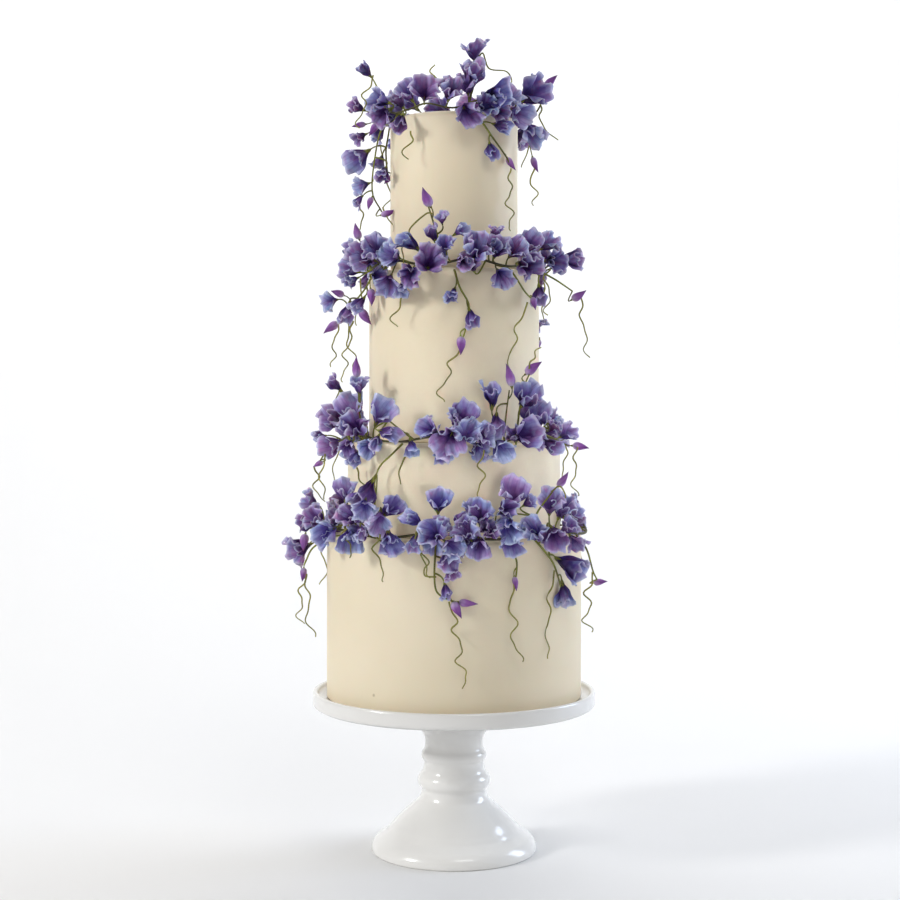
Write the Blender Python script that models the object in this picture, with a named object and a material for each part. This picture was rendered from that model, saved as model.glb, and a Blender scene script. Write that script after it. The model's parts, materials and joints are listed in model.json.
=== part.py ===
"""Four-tier wedding cake on its turned pedestal stand, with a garland of sugar sweet peas on every tier.

Units are metres and +Z is up. The origin is the middle of the stand's foot, on the table. Angles round
the cake are degrees from the front (-Y), positive towards the right (+X). Tiers, vines and garlands are
numbered from the top of the cake down.
"""

import math

import bmesh
import bpy

# Driving dimensions of the cake.
INCH = 0.0254
PAN_DIAMETERS = (6 * INCH, 8 * INCH, 10 * INCH, 12 * INCH)
TIER_HEIGHTS = (0.181, 0.200, 0.107, 0.197)
TOP_EDGE_ROUND = 0.006
BOTTOM_EDGE_ROUND = 0.003
TIER_SIDES = 36
TOUCH_GAP = 0.0003

# Driving dimensions of the stand.
FOOT_RADIUS = 0.099
FOOT_EDGE_HEIGHT = 0.0095
FOOT_EDGE_BULGE = 0.0018
FOOT_RING_WIDTH = 0.016
FOOT_RECESS_DEPTH = 0.003
SHOULDER_RADIUS = 0.0840
SHOULDER_TOP = 0.0215
WAIST_RADIUS = 0.0385
WAIST_FOOT = 0.073
LOWER_BEAD = (0.0855, 0.0125, 0.0048)
UPPER_BEAD = (0.1180, 0.0070, 0.0030)
STEM_RADIUS = 0.0355
NECK_RADIUS = 0.0341
NECK_HEIGHT = 0.131
NECK_TOP_RADIUS = 0.050
NECK_TOP = 0.160
PLATE_RADIUS = 0.169
PLATE_UNDERSIDE = 0.175
PLATE_LOWER_ROUND = 0.0035
PLATE_DISH = (0.105, 0.167)
PLATE_FLOOR = 0.186
PLATE_RIM_TOP = 0.194
PLATE_RIM_WIDTH = 0.006
PLATE_RIM_ROUND = 0.0016
STAND_SIDES = 30
SHARPEST_SMOOTH_ANGLE = 35
MERGE_DISTANCE = 0.00001

# Driving dimensions of the vines that carry the flowers.
VINE_RADIUS = 0.0019
VINE_INSET = 0.006
VINE_LIFT = 0.0006
VINE_WANDER = 0.0015
VINE_WAVES = 5
VINE_STEPS = 30
VINE_SIDES = 4

# Driving dimensions of the sprays of flowers: each garland is a ring of them, side by side.
SPRAYS_PER_GARLAND = 12
SPRAY_HALF_ANGLE = 14.2
SPRAY_FLOOR = 0.005
WALL_GAP = 0.0008
TOP_SPREAD = 0.022
SPRAY_SECTIONS = 5
OUTLINE_START = -90
OUTLINE_END = 150
OUTLINE_STEP = 30
RUFFLE_DEPTH = 0.24
RUFFLE_TURNS = (2.5, 2.1, 1.7)
END_TAPER = 0.30

# Each garland's first spray is at this angle, and the others follow every 30 degrees.
FIRST_SPRAY_ANGLE = (-165, -180, -165, -180)

# How far each spray stands above the rim of its tier, hangs below it and reaches out from it.
SPRAY_RISES = (
    (0.048, 0.040, 0.052, 0.070, 0.042, 0.044, 0.108, 0.040, 0.046, 0.050, 0.038, 0.056),
    (0.044, 0.050, 0.040, 0.042, 0.046, 0.049, 0.049, 0.046, 0.044, 0.040, 0.048, 0.042),
    (0.050, 0.064, 0.048, 0.070, 0.062, 0.036, 0.068, 0.070, 0.034, 0.056, 0.048, 0.062),
    (0.056, 0.048, 0.060, 0.046, 0.068, 0.062, 0.060, 0.064, 0.060, 0.040, 0.054, 0.060),
)
SPRAY_DROPS = (
    (0.034, 0.062, 0.040, 0.118, 0.032, 0.018, 0.034, 0.050, 0.052, 0.036, 0.070, 0.030),
    (0.036, 0.050, 0.034, 0.072, 0.050, 0.036, 0.094, 0.038, 0.052, 0.036, 0.046, 0.060),
    (0.018, 0.024, 0.020, 0.018, 0.026, 0.020, 0.018, 0.022, 0.020, 0.024, 0.018, 0.022),
    (0.036, 0.026, 0.050, 0.052, 0.020, 0.026, 0.082, 0.022, 0.070, 0.044, 0.030, 0.052),
)
SPRAY_REACHES = (
    (0.036, 0.044, 0.040, 0.056, 0.038, 0.030, 0.034, 0.040, 0.046, 0.042, 0.036, 0.040),
    (0.040, 0.036, 0.044, 0.048, 0.042, 0.038, 0.038, 0.036, 0.040, 0.048, 0.038, 0.042),
    (0.038, 0.042, 0.036, 0.040, 0.042, 0.034, 0.036, 0.038, 0.040, 0.036, 0.040, 0.036),
    (0.040, 0.042, 0.044, 0.050, 0.046, 0.044, 0.040, 0.042, 0.044, 0.050, 0.044, 0.042),
)

# Colours, as linear red, green and blue.
FONDANT = (0.80, 0.74, 0.58)
GLAZE = (0.83, 0.81, 0.78)
STEM_GREEN = (0.09, 0.10, 0.025)
PETAL_COLOURS = ((0.075, 0.035, 0.27), (0.17, 0.22, 0.50), (0.13, 0.06, 0.34))


def clear_scene():
    for obj in list(bpy.data.objects):
        bpy.data.objects.remove(obj, do_unlink=True)


def material(name, colour, roughness):
    """A Principled material, made once for each name."""
    made = bpy.data.materials.get(name)
    if made:
        return made
    made = bpy.data.materials.new(name)
    made.use_nodes = True
    shader = made.node_tree.nodes["Principled BSDF"]
    shader.inputs["Base Color"].default_value = (*colour, 1.0)
    shader.inputs["Roughness"].default_value = roughness
    shader.inputs["Metallic"].default_value = 0.0
    made.diffuse_color = (*colour, 1.0)
    return made


def add_object(name, bm, finish):
    """Turn a closed bmesh into a named object whose faces point outwards."""
    bmesh.ops.recalc_face_normals(bm, faces=bm.faces[:])
    mesh = bpy.data.meshes.new(name)
    bm.to_mesh(mesh)
    bm.free()
    mesh.materials.append(finish)
    obj = bpy.data.objects.new(name, mesh)
    bpy.context.collection.objects.link(obj)
    return obj


def around(angle, radius, height):
    """The point at this angle from the front, this far from the cake's axis."""
    turn = math.radians(angle)
    return (radius * math.sin(turn), -radius * math.cos(turn), height)


def turned_piece(name, profile, sides, finish):
    """Spin an open (radius, height) profile, which starts and ends on the axis, into a solid."""
    bm = bmesh.new()
    points = [bm.verts.new((radius, 0.0, height)) for radius, height in profile]
    edges = [bm.edges.new(pair) for pair in zip(points, points[1:])]
    bmesh.ops.spin(
        bm,
        geom=points + edges,
        axis=(0.0, 0.0, 1.0),
        cent=(0.0, 0.0, 0.0),
        angle=math.tau,
        steps=sides,
    )
    bmesh.ops.remove_doubles(bm, verts=bm.verts[:], dist=MERGE_DISTANCE)
    bmesh.ops.dissolve_degenerate(bm, edges=bm.edges[:], dist=MERGE_DISTANCE)
    obj = add_object(name, bm, finish)
    obj.data.shade_smooth()
    obj.data.set_sharp_from_angle(angle=math.radians(SHARPEST_SMOOTH_ANGLE))
    return obj


def steps_between(count):
    """Evenly spaced values from 0 to 1, both included."""
    return [index / count for index in range(count + 1)]


def quarter_round(start, end, steps):
    """A convex quarter of an ellipse: it leaves start upright and meets end level."""
    return [
        (
            end[0] + (start[0] - end[0]) * math.cos(math.pi / 2 * t),
            start[1] + (end[1] - start[1]) * math.sin(math.pi / 2 * t),
        )
        for t in steps_between(steps)
    ]


def eased_slope(start, end, steps):
    """A slope that is half straight and half eased at both ends."""
    points = []
    for t in steps_between(steps):
        eased = 0.5 * t + 0.5 * (3 * t * t - 2 * t * t * t)
        points.append((start[0] + (end[0] - start[0]) * eased, start[1] + (end[1] - start[1]) * t))
    return points


def bead(middle, half_height, bulge, base, steps):
    """A turned bead: a half wave that stands out of a stem of the radius base."""
    return [
        (base + bulge * math.sin(math.pi * t), middle + half_height * (2 * t - 1))
        for t in steps_between(steps)
    ]


def foot_profile():
    """The recessed underside, the half-round edge and the bell-shaped shoulder of the foot."""
    base = FOOT_RADIUS - FOOT_EDGE_BULGE
    ring = base - FOOT_RING_WIDTH
    underside = [(0.0, FOOT_RECESS_DEPTH), (ring - FOOT_RECESS_DEPTH, FOOT_RECESS_DEPTH), (ring, 0.0)]
    edge = bead(FOOT_EDGE_HEIGHT / 2, FOOT_EDGE_HEIGHT / 2, FOOT_EDGE_BULGE, base, 4)
    shoulder = quarter_round((base, FOOT_EDGE_HEIGHT), (SHOULDER_RADIUS, SHOULDER_TOP), 3)
    bell = eased_slope((SHOULDER_RADIUS, SHOULDER_TOP), (WAIST_RADIUS, WAIST_FOOT), 6)
    return underside + edge + shoulder[1:] + bell[1:]


def stem_profile():
    """Two beads with a waist between them, then the neck that flares out under the plate."""
    lower = bead(*LOWER_BEAD, WAIST_RADIUS, 4)
    upper = bead(*UPPER_BEAD, STEM_RADIUS, 4)
    waist = (STEM_RADIUS, (lower[-1][1] + upper[0][1]) / 2)
    neck = (NECK_RADIUS, NECK_HEIGHT)
    flare = [
        (NECK_RADIUS + (NECK_TOP_RADIUS - NECK_RADIUS) * t * t, NECK_HEIGHT + (NECK_TOP - NECK_HEIGHT) * t)
        for t in steps_between(3)
    ]
    return lower[1:] + [waist] + upper + [neck] + flare[1:]


def plate_profile():
    """The dished underside, the upright side, the rounded rim and the flat floor under the cake."""
    inner = PLATE_RADIUS - PLATE_RIM_WIDTH
    side = [
        (PLATE_RADIUS - PLATE_LOWER_ROUND, PLATE_UNDERSIDE),
        (PLATE_RADIUS, PLATE_UNDERSIDE + PLATE_LOWER_ROUND),
        (PLATE_RADIUS, PLATE_RIM_TOP - PLATE_RIM_ROUND),
    ]
    rim = [
        (PLATE_RADIUS - PLATE_RIM_ROUND, PLATE_RIM_TOP),
        (inner + PLATE_RIM_ROUND, PLATE_RIM_TOP),
    ]
    floor = [(inner, PLATE_FLOOR), (0.0, PLATE_FLOOR)]
    return [PLATE_DISH] + side + rim + floor


def build_stand():
    finish = material("stand_glaze", GLAZE, 0.2)
    profile = foot_profile() + stem_profile() + plate_profile()
    return turned_piece("cake_stand", profile, STAND_SIDES, finish)


def tier_places():
    """(radius, bottom, top) of each tier, from the top of the cake down."""
    places = []
    bottom = PLATE_FLOOR + TOUCH_GAP
    for diameter, height in zip(reversed(PAN_DIAMETERS), reversed(TIER_HEIGHTS)):
        places.append((diameter / 2, bottom, bottom + height))
        bottom += height + TOUCH_GAP
    return list(reversed(places))


def build_tier(number, place):
    """One fondant-covered tier, uncut and solid, with rounded edges."""
    radius, bottom, top = place
    lower = quarter_round(
        (radius - BOTTOM_EDGE_ROUND, bottom), (radius, bottom + BOTTOM_EDGE_ROUND), 1
    )
    upper = quarter_round((radius, top - TOP_EDGE_ROUND), (radius - TOP_EDGE_ROUND, top), 3)
    profile = [(0.0, bottom)] + lower + upper + [(0.0, top)]
    finish = material("fondant", FONDANT, 0.6)
    return turned_piece(f"tier_{number}", profile, TIER_SIDES, finish)


def build_vine(number, place):
    """The main stem of a garland: a slightly wandering ring that lies on the tier's rim."""
    radius, _, top = place
    bm = bmesh.new()
    rings = []
    for step in range(VINE_STEPS):
        angle = 360 * step / VINE_STEPS
        wander = VINE_WANDER * math.sin(VINE_WAVES * math.radians(angle))
        middle = radius - VINE_INSET + wander
        height = top + VINE_LIFT + VINE_RADIUS
        ring = []
        for side in range(VINE_SIDES):
            turn = math.tau * side / VINE_SIDES
            reach = middle + VINE_RADIUS * math.cos(turn)
            ring.append(bm.verts.new(around(angle, reach, height + VINE_RADIUS * math.sin(turn))))
        rings.append(ring)
    for ring, following in zip(rings, rings[1:] + rings[:1]):
        for side in range(VINE_SIDES):
            after = (side + 1) % VINE_SIDES
            bm.faces.new((ring[side], ring[after], following[after], following[side]))
    return add_object(f"vine_{number}", bm, material("stems", STEM_GREEN, 0.5))


def ruffle(index, section, spray):
    """How far out a point of a spray's ruffled surface lies, as a share of the spray's full size there."""
    up, along, round_cake = RUFFLE_TURNS
    wave = math.sin(up * index + along * section * (-1) ** index + round_cake * spray)
    return 1 - RUFFLE_DEPTH * (0.5 - 0.5 * wave)


def spray_outline(wall, inner, floor, sizes, section, spray):
    """A spray's (radius, height) outline: it sits on the ledge, and hangs over the rim in front of the wall."""
    rise, drop, reach = sizes
    outline = [(inner, floor), (wall, floor)]
    for index, degrees in enumerate(range(OUTLINE_START, OUTLINE_END + 1, OUTLINE_STEP)):
        turn = math.radians(degrees)
        share = ruffle(index, section, spray)
        across = reach if math.cos(turn) > 0 else (wall - inner) / math.cos(math.radians(OUTLINE_STEP))
        upright = rise if math.sin(turn) > 0 else drop
        outline.append((wall + across * share * math.cos(turn), floor + upright * share * math.sin(turn)))
    return outline


def build_spray(garland, spray, place, inner):
    """One spray of sweet peas as a lumpy solid, out to the flowers' uneven outline."""
    radius, _, top = place
    middle = FIRST_SPRAY_ANGLE[garland] + 360 / SPRAYS_PER_GARLAND * spray
    rise = SPRAY_RISES[garland][spray] - SPRAY_FLOOR
    drop = SPRAY_DROPS[garland][spray] + SPRAY_FLOOR
    reach = SPRAY_REACHES[garland][spray]
    bm = bmesh.new()
    sections = []
    for section in range(SPRAY_SECTIONS):
        along = 2 * section / (SPRAY_SECTIONS - 1) - 1
        taper = 1 - END_TAPER * along * along
        sizes = (rise * taper, drop * taper * taper, reach * taper)
        outline = spray_outline(radius + WALL_GAP, inner, top + SPRAY_FLOOR, sizes, section, spray)
        angle = middle + SPRAY_HALF_ANGLE * along
        sections.append([bm.verts.new(around(angle, *point)) for point in outline])
    count = len(sections[0])
    for section, following in zip(sections, sections[1:]):
        for index in range(count):
            after = (index + 1) % count
            bm.faces.new((section[index], section[after], following[after], following[index]))
    for section in (sections[0], sections[-1]):
        corner = section[1]
        for pair in zip(section[2:], section[3:] + section[:1]):
            bm.faces.new((corner, *pair))
    shade = spray % len(PETAL_COLOURS)
    finish = material(f"petals_{shade + 1}", PETAL_COLOURS[shade], 0.7)
    return add_object(f"garland_{garland + 1}_spray_{spray + 1:02d}", bm, finish)


def build_garland(garland, places):
    """A vine and its ring of sprays, on one tier's rim."""
    place = places[garland]
    if garland == 0:
        inner = place[0] - TOP_SPREAD
    else:
        inner = places[garland - 1][0] + WALL_GAP
    build_vine(garland + 1, place)
    for spray in range(SPRAYS_PER_GARLAND):
        build_spray(garland, spray, place, inner)


def main():
    clear_scene()
    build_stand()
    places = tier_places()
    for number, place in enumerate(places, start=1):
        build_tier(number, place)
    for garland in range(len(places)):
        build_garland(garland, places)


main()
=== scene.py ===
"""The finish of a four-tier wedding cake: ivory fondant, a glazed pedestal stand and, round the rim of
every tier, a trailing garland of sugar sweet peas with their buds, calyxes, stems and tendrils.

Lengths are metres unless a name or a heading says millimetres. The front of the cake faces -Y.
Garlands are numbered from the top of the cake down, like the tiers they lie on.
"""

import json
import math
import random

import bmesh
import bpy
import numpy as np
from mathutils import Matrix, Vector

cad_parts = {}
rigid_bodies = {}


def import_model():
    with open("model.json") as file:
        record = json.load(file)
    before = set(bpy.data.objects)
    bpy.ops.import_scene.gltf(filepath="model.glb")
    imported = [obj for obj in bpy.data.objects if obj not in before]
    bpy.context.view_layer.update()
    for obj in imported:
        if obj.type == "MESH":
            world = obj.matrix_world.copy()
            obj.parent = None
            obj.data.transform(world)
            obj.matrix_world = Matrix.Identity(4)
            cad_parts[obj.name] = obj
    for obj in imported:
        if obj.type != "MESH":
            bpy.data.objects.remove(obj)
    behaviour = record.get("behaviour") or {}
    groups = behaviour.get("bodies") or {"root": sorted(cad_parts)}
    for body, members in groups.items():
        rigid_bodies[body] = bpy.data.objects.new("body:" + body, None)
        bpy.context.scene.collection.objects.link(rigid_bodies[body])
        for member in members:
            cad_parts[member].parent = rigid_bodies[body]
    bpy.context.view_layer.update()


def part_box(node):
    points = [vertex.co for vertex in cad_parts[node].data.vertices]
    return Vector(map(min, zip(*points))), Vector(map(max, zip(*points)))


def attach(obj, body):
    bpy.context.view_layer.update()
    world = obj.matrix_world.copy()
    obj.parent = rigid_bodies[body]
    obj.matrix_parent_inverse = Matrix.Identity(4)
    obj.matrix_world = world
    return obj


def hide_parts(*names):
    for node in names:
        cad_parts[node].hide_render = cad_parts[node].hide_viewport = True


MM = 0.001

# The camera stands in front of the cake, a little above its middle, and looks very slightly down.
CAMERA_DISTANCE = 1.929
CAMERA_HEIGHT = 0.525
CAMERA_SIDE = -0.0048
CAMERA_TILT = 1.32
LENS_MM = 64.4
SENSOR_MM = 36.0

# Painted shade of one small prick in the icing, low on the front of the bottom tier; the prick itself is not
# modelled.
PAINTED_PRICK_SHADE = (-0.0908, -0.1224, 0.2070)

TIER_COUNT = 4
SPRAYS_PER_GARLAND = 12
UP = Vector((0.0, 0.0, 1.0))
FRONT_RIGHT = Vector((1.0, 0.0, 0.0))
FRONT_OUT = Vector((0.0, -1.0, 0.0))

# The flowers on the front of each garland. Millimetres: across from the cake's axis,
# above the tier's rim, out from its wall, petal length. Degrees: lean of the stem's line to the right of
# upright, how far the flower faces the viewer, roll. Then its form, and its tint from violet to blue.
FRONT_BLOOMS = (
    (
        (-104, 57, 30, 22, -38, 10, 0, "trumpet", 0.35),
        (-87, 18, 20, 28, -76, 25, 10, "open", 0.80),
        (-114, 13, 40, 22, -70, 20, -20, "cup", 0.20),
        (-61, -14, 20, 26, 190, 30, 0, "hanging", 0.15),
        (-111, -21, 36, 20, -120, 20, 30, "cup", 0.20),
        (-114, -44, 38, 35, -128, 20, 0, "fan", 0.85),
        (-83, -67, 14, 22, -160, 25, 0, "cup", 0.50),
        (-109, -78, 34, 20, -110, 15, 0, "open", 0.90),
        (-113, -96, 38, 17, -140, 10, 0, "trumpet", 0.95),
        (-54, 20, 14, 27, -40, 40, 0, "fan", 0.80),
        (-33, 16, 24, 29, 10, 60, 0, "open", 0.10),
        (-5, 16, 20, 26, 15, 50, 20, "ruffled", 0.30),
        (21, 37, 10, 36, 4, 20, 0, "cup", 0.50),
        (22, 67, 4, 26, -12, 15, 180, "open", 0.80),
        (13, -5, 22, 26, 160, 55, 0, "open", 0.15),
        (47, 13, 20, 39, 85, 25, 0, "trumpet", 0.10),
        (74, -2, 22, 31, 120, 35, 0, "fan", 0.85),
        (89, -20, 24, 29, 150, 30, 20, "ruffled", 0.75),
        (54, -20, 18, 24, 114, 15, 0, "trumpet", 0.50),
        (90, 24, 24, 36, 61, 32, 0, "open", 0.05),
        (42, -46, 12, 22, 170, 25, 0, "hanging", 0.35),
        (35, 2, 14, 24, 60, 60, 0, "ruffled", 0.30),
        (-84, 2, 18, 24, -130, 30, 0, "open", 0.25),
        (64, 16, 12, 24, 40, 40, 0, "open", 0.55),
    ),
    (
        (-15, 52, 16, 15, -15, 20, 0, "open", 0.60),
        (-25, 35, 16, 22, -24, 15, 0, "trumpet", 0.50),
        (-51, 26, 18, 31, -54, 20, 0, "trumpet", 0.60),
        (-119, 24, 28, 22, -60, 20, 0, "cup", 0.80),
        (-101, 12, 28, 30, -75, 45, 0, "ruffled", 0.30),
        (-88, 19, 26, 29, -20, 50, 0, "ruffled", 0.50),
        (-70, 12, 26, 24, -72, 40, 0, "open", 0.70),
        (-122, 0, 32, 26, -80, 15, 0, "fan", 0.70),
        (-119, -13, 30, 20, -120, 20, 0, "cup", 0.90),
        (-29, 0, 28, 31, 20, 75, 0, "open", 0.15),
        (-75, -18, 22, 26, 200, 35, 0, "open", 0.55),
        (-59, -25, 18, 22, 185, 20, 0, "hanging", 0.95),
        (-146, -33, 46, 20, -100, 30, 0, "open", 0.90),
        (-125, -49, 30, 26, 190, 10, 0, "hanging", 0.60),
        (-110, -40, 24, 24, 215, 15, 0, "hanging", 0.85),
        (7, 39, 14, 20, 58, 20, 0, "fan", 0.85),
        (-10, 21, 22, 18, -10, 50, 0, "open", 0.30),
        (24, 15, 24, 31, 20, 60, 0, "ruffled", 0.45),
        (10, 3, 28, 24, 150, 60, 0, "cup", 0.30),
        (47, 38, 10, 18, 5, 10, 0, "cup", 0.50),
        (48, 18, 18, 26, 20, 45, 0, "open", 0.20),
        (87, 29, 14, 29, 30, 35, 0, "fan", 0.40),
        (109, 31, 20, 24, 50, 20, 0, "open", 0.70),
        (137, 14, 38, 31, 80, 15, 0, "trumpet", 0.30),
        (81, 2, 26, 29, 110, 55, 0, "ruffled", 0.15),
        (99, -29, 16, 26, 175, 20, 0, "hanging", 0.60),
        (-2, -33, 14, 22, 200, 30, 0, "cup", 0.40),
        (20, -58, 10, 24, 160, 20, 0, "hanging", 0.55),
        (-50, -8, 24, 24, 210, 55, 0, "ruffled", 0.25),
        (52, -10, 22, 24, 150, 50, 0, "open", 0.40),
        (115, 10, 26, 26, 100, 40, 0, "ruffled", 0.20),
        (68, 18, 22, 28, 40, 50, 0, "open", 0.60),
    ),
    (
        (-139, 67, 22, 23, -50, 10, 0, "trumpet", 0.25),
        (-109, 65, 12, 23, -5, 15, 0, "cup", 0.50),
        (-117, 38, 14, 36, -25, 35, 0, "fan", 0.60),
        (-141, 25, 24, 28, -65, 25, 0, "ruffled", 0.30),
        (-112, 16, 24, 29, -20, 60, 0, "ruffled", 0.10),
        (-142, -4, 28, 31, -112, 20, 0, "fan", 0.50),
        (-159, 7, 34, 17, -95, 10, 0, "cup", 0.85),
        (-84, 34, 16, 37, 22, 38, 0, "fan", 0.75),
        (-75, 11, 26, 28, 110, 40, 0, "trumpet", 0.50),
        (-87, 3, 24, 20, 200, 40, 0, "cup", 0.65),
        (-112, -17, 20, 22, 200, 20, 0, "hanging", 0.70),
        (-48, -4, 16, 22, 170, 25, 0, "hanging", 0.70),
        (-27, 17, 18, 26, -60, 35, 0, "open", 0.60),
        (-4, 8, 24, 35, 200, 70, 0, "ruffled", 0.45),
        (10, 29, 18, 35, 5, 38, 0, "fan", 0.20),
        (14, 10, 26, 28, 30, 55, 0, "ruffled", 0.80),
        (29, 9, 24, 30, 70, 50, 0, "cup", 0.40),
        (42, 53, 12, 31, 0, 20, 0, "trumpet", 0.50),
        (47, 22, 24, 30, 180, 35, 0, "trumpet", 0.50),
        (80, 51, 14, 29, 25, 35, 0, "ruffled", 0.20),
        (52, -4, 22, 29, 150, 35, 0, "open", 0.90),
        (78, 12, 26, 39, 60, 50, 0, "fan", 0.15),
        (89, 28, 14, 32, 20, 30, 0, "ruffled", 0.40),
        (110, -2, 22, 29, 125, 30, 0, "trumpet", 0.55),
        (130, 11, 22, 22, 60, 15, 0, "open", 0.60),
    ),
    (
        (-182, -18, 32, 30, -110, 20, 0, "ruffled", 0.40),
        (-171, 37, 20, 22, -60, 10, 0, "open", 0.50),
        (-159, 19, 22, 26, -50, 30, 0, "ruffled", 0.50),
        (-172, 12, 28, 26, -80, 25, 0, "cup", 0.15),
        (-143, 8, 22, 28, -110, 45, 0, "open", 0.60),
        (-124, 52, 10, 28, -5, 25, 0, "fan", 0.65),
        (-98, 52, 12, 39, 205, 20, 0, "trumpet", 0.30),
        (-71, 36, 16, 29, 40, 35, 0, "fan", 0.20),
        (-100, 38, 26, 24, 190, 50, 0, "open", 0.95),
        (-115, 2, 24, 33, 175, 30, 0, "fan", 0.75),
        (-103, 11, 34, 17, 170, 40, 0, "cup", 0.80),
        (-115, 25, 26, 26, -30, 50, 0, "ruffled", 0.40),
        (-82, 24, 24, 26, 180, 40, 0, "open", 0.85),
        (-71, 1, 24, 29, 165, 40, 0, "fan", 0.25),
        (-45, 26, 16, 26, -55, 20, 0, "trumpet", 0.90),
        (-18, 43, 12, 31, 0, 40, 0, "fan", 0.65),
        (-43, 0, 22, 24, 195, 30, 0, "hanging", 0.80),
        (-21, 10, 30, 31, -30, 65, 0, "ruffled", 0.60),
        (-4, -2, 28, 24, 120, 50, 0, "open", 0.85),
        (6, 23, 20, 22, 20, 40, 0, "cup", 0.45),
        (17, 37, 12, 20, 10, 20, 0, "open", 0.90),
        (28, 30, 22, 29, 0, 45, 0, "open", 0.30),
        (14, 11, 24, 27, -25, 50, 0, "ruffled", 0.80),
        (40, 12, 24, 25, 35, 55, 0, "cup", 0.15),
        (64, 51, 12, 36, 10, 30, 0, "fan", 0.35),
        (83, 42, 12, 17, 60, 10, 0, "open", 0.60),
        (56, 37, 28, 28, 60, 60, 0, "cup", 0.25),
        (59, 18, 30, 29, 200, 55, 0, "ruffled", 0.60),
        (61, 2, 26, 24, 170, 55, 0, "open", 0.35),
        (28, -3, 26, 29, 175, 45, 0, "fan", 0.30),
        (89, 9, 26, 28, -40, 55, 0, "ruffled", 0.60),
        (113, 5, 24, 33, 150, 45, 0, "fan", 0.20),
        (107, 38, 12, 28, 0, 35, 0, "open", 0.50),
        (122, 33, 12, 28, 20, 25, 0, "ruffled", 0.70),
        (127, 12, 22, 24, 40, 30, 0, "cup", 0.15),
        (136, -5, 18, 22, 150, 20, 0, "open", 0.30),
        (131, -32, 16, 40, 118, 15, 0, "trumpet", 0.25),
        (125, -65, 6, 30, 172, 10, 0, "trumpet", 0.90),
        (-6, -17, 22, 26, 165, 40, 0, "open", 0.40),
        (-4, -32, 16, 20, 150, 30, 0, "cup", 0.30),
        (-9, -54, 12, 20, 165, 20, 0, "hanging", 0.70),
    ),
)

# The buds on the front: across, above the rim, out, length, lean and facing, as for the flowers.
FRONT_BUDS = (
    (
        (-113, -7, 38, 18, -100, 10),
        (-95, -15, 24, 18, -150, 20),
        (-100, -100, 26, 18, 200, 20),
        (-77, -112, 6, 20, 75, 10),
        (114, 44, 40, 20, 40, 10),
        (66, -58, 8, 19, 150, 20),
        (95, -55, 22, 20, 165, 10),
    ),
    (
        (-32, 76, 16, 24, -30, 20),
        (-114, 46, 20, 20, -20, 10),
        (-138, -24, 38, 18, -70, 20),
        (-95, -32, 14, 21, 170, 20),
        (-104, -54, 12, 23, 150, 20),
        (-147, -64, 46, 22, -120, 10),
        (92, -40, 18, 16, 160, 20),
        (148, -27, 48, 21, 60, 10),
        (8, -90, 8, 22, 175, 10),
    ),
    (
        (-113, 87, 10, 25, -8, 10),
        (63, 77, 4, 27, -8, 10),
        (90, 86, 6, 24, 50, 10),
        (147, -4, 32, 20, 92, 10),
        (-161, -26, 36, 14, -115, 10),
    ),
    (
        (-176, -10, 30, 22, 190, 20),
        (-183, -37, 30, 17, 190, 10),
        (-177, -48, 30, 17, 185, 10),
        (15, -68, 8, 22, 95, 10),
        (3, -75, 10, 21, 150, 10),
        (68, -48, 8, 17, 170, 10),
        (172, -57, 24, 17, 80, 10),
        (124, 66, 10, 22, 40, 10),
    ),
)

# The side stems on the front, as the points that each passes: across, above the rim, out.
FRONT_BRANCHES = (
    (
        ((-66, 0, 4), (-72, -10, 10), (-84, -14, 16), (-92, -40, 20), (-97, -84, 22), (-86, -108, 10)),
        ((20, 0, 6), (30, -12, 8), (44, -30, 6), (60, -50, 6), (66, -62, 8)),
        ((16, 6, -6), (20, 24, 2), (22, 48, 2), (24, 60, 2)),
        ((88, 4, 8), (100, 14, 18), (108, 34, 30)),
    ),
    (
        ((-76, 2, 6), (-94, -8, 12), (-104, -22, 14), (-124, -42, 24), (-140, -58, 36)),
        ((0, -4, 8), (6, -24, 10), (17, -46, 6), (12, -74, 6), (8, -84, 7)),
        ((48, 2, 8), (64, -4, 12), (80, -26, 14), (88, -34, 14)),
        ((92, 2, 8), (118, -10, 24), (140, -22, 40)),
        ((-20, 6, 2), (-18, 28, 10), (-24, 50, 12), (-29, 66, 14)),
    ),
    (
        ((-58, 0, 4), (-70, -12, 12), (-84, -26, 12), (-90, -44, 14), (-88, -62, 20)),
        ((-46, 5, 4), (-60, 15, 7), (-74, 26, 9)),
        ((56, 4, 0), (58, 30, 4), (62, 60, 4)),
        ((70, 6, 2), (74, 40, 8), (80, 66, 6), (85, 78, 6)),
        ((-100, 6, 4), (-108, 30, 8), (-110, 58, 8)),
        ((-120, 2, 10), (-140, 40, 16), (-134, 60, 16)),
        ((-130, -2, 16), (-150, -12, 28), (-158, -22, 34)),
    ),
    (
        ((-116, 4, 4), (-143, -2, 8), (-165, -16, 20), (-174, -32, 26), (-177, -38, 28)),
        ((-20, 2, 6), (-21, -12, 10), (-22, -39, 8), (-19, -56, 8), (-6, -64, 8), (4, -67, 8)),
        ((54, 2, 8), (62, -10, 8), (69, -22, 7), (69, -37, 7), (67, -44, 7)),
        ((88, 2, 8), (105, -18, 8), (113, -31, 8), (119, -48, 7), (121, -56, 6)),
        ((88, 6, 6), (92, 29, 10), (108, 50, 10), (116, 58, 10)),
        ((140, 2, 10), (152, -15, 22), (160, -40, 24), (166, -52, 24)),
    ),
)

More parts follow.
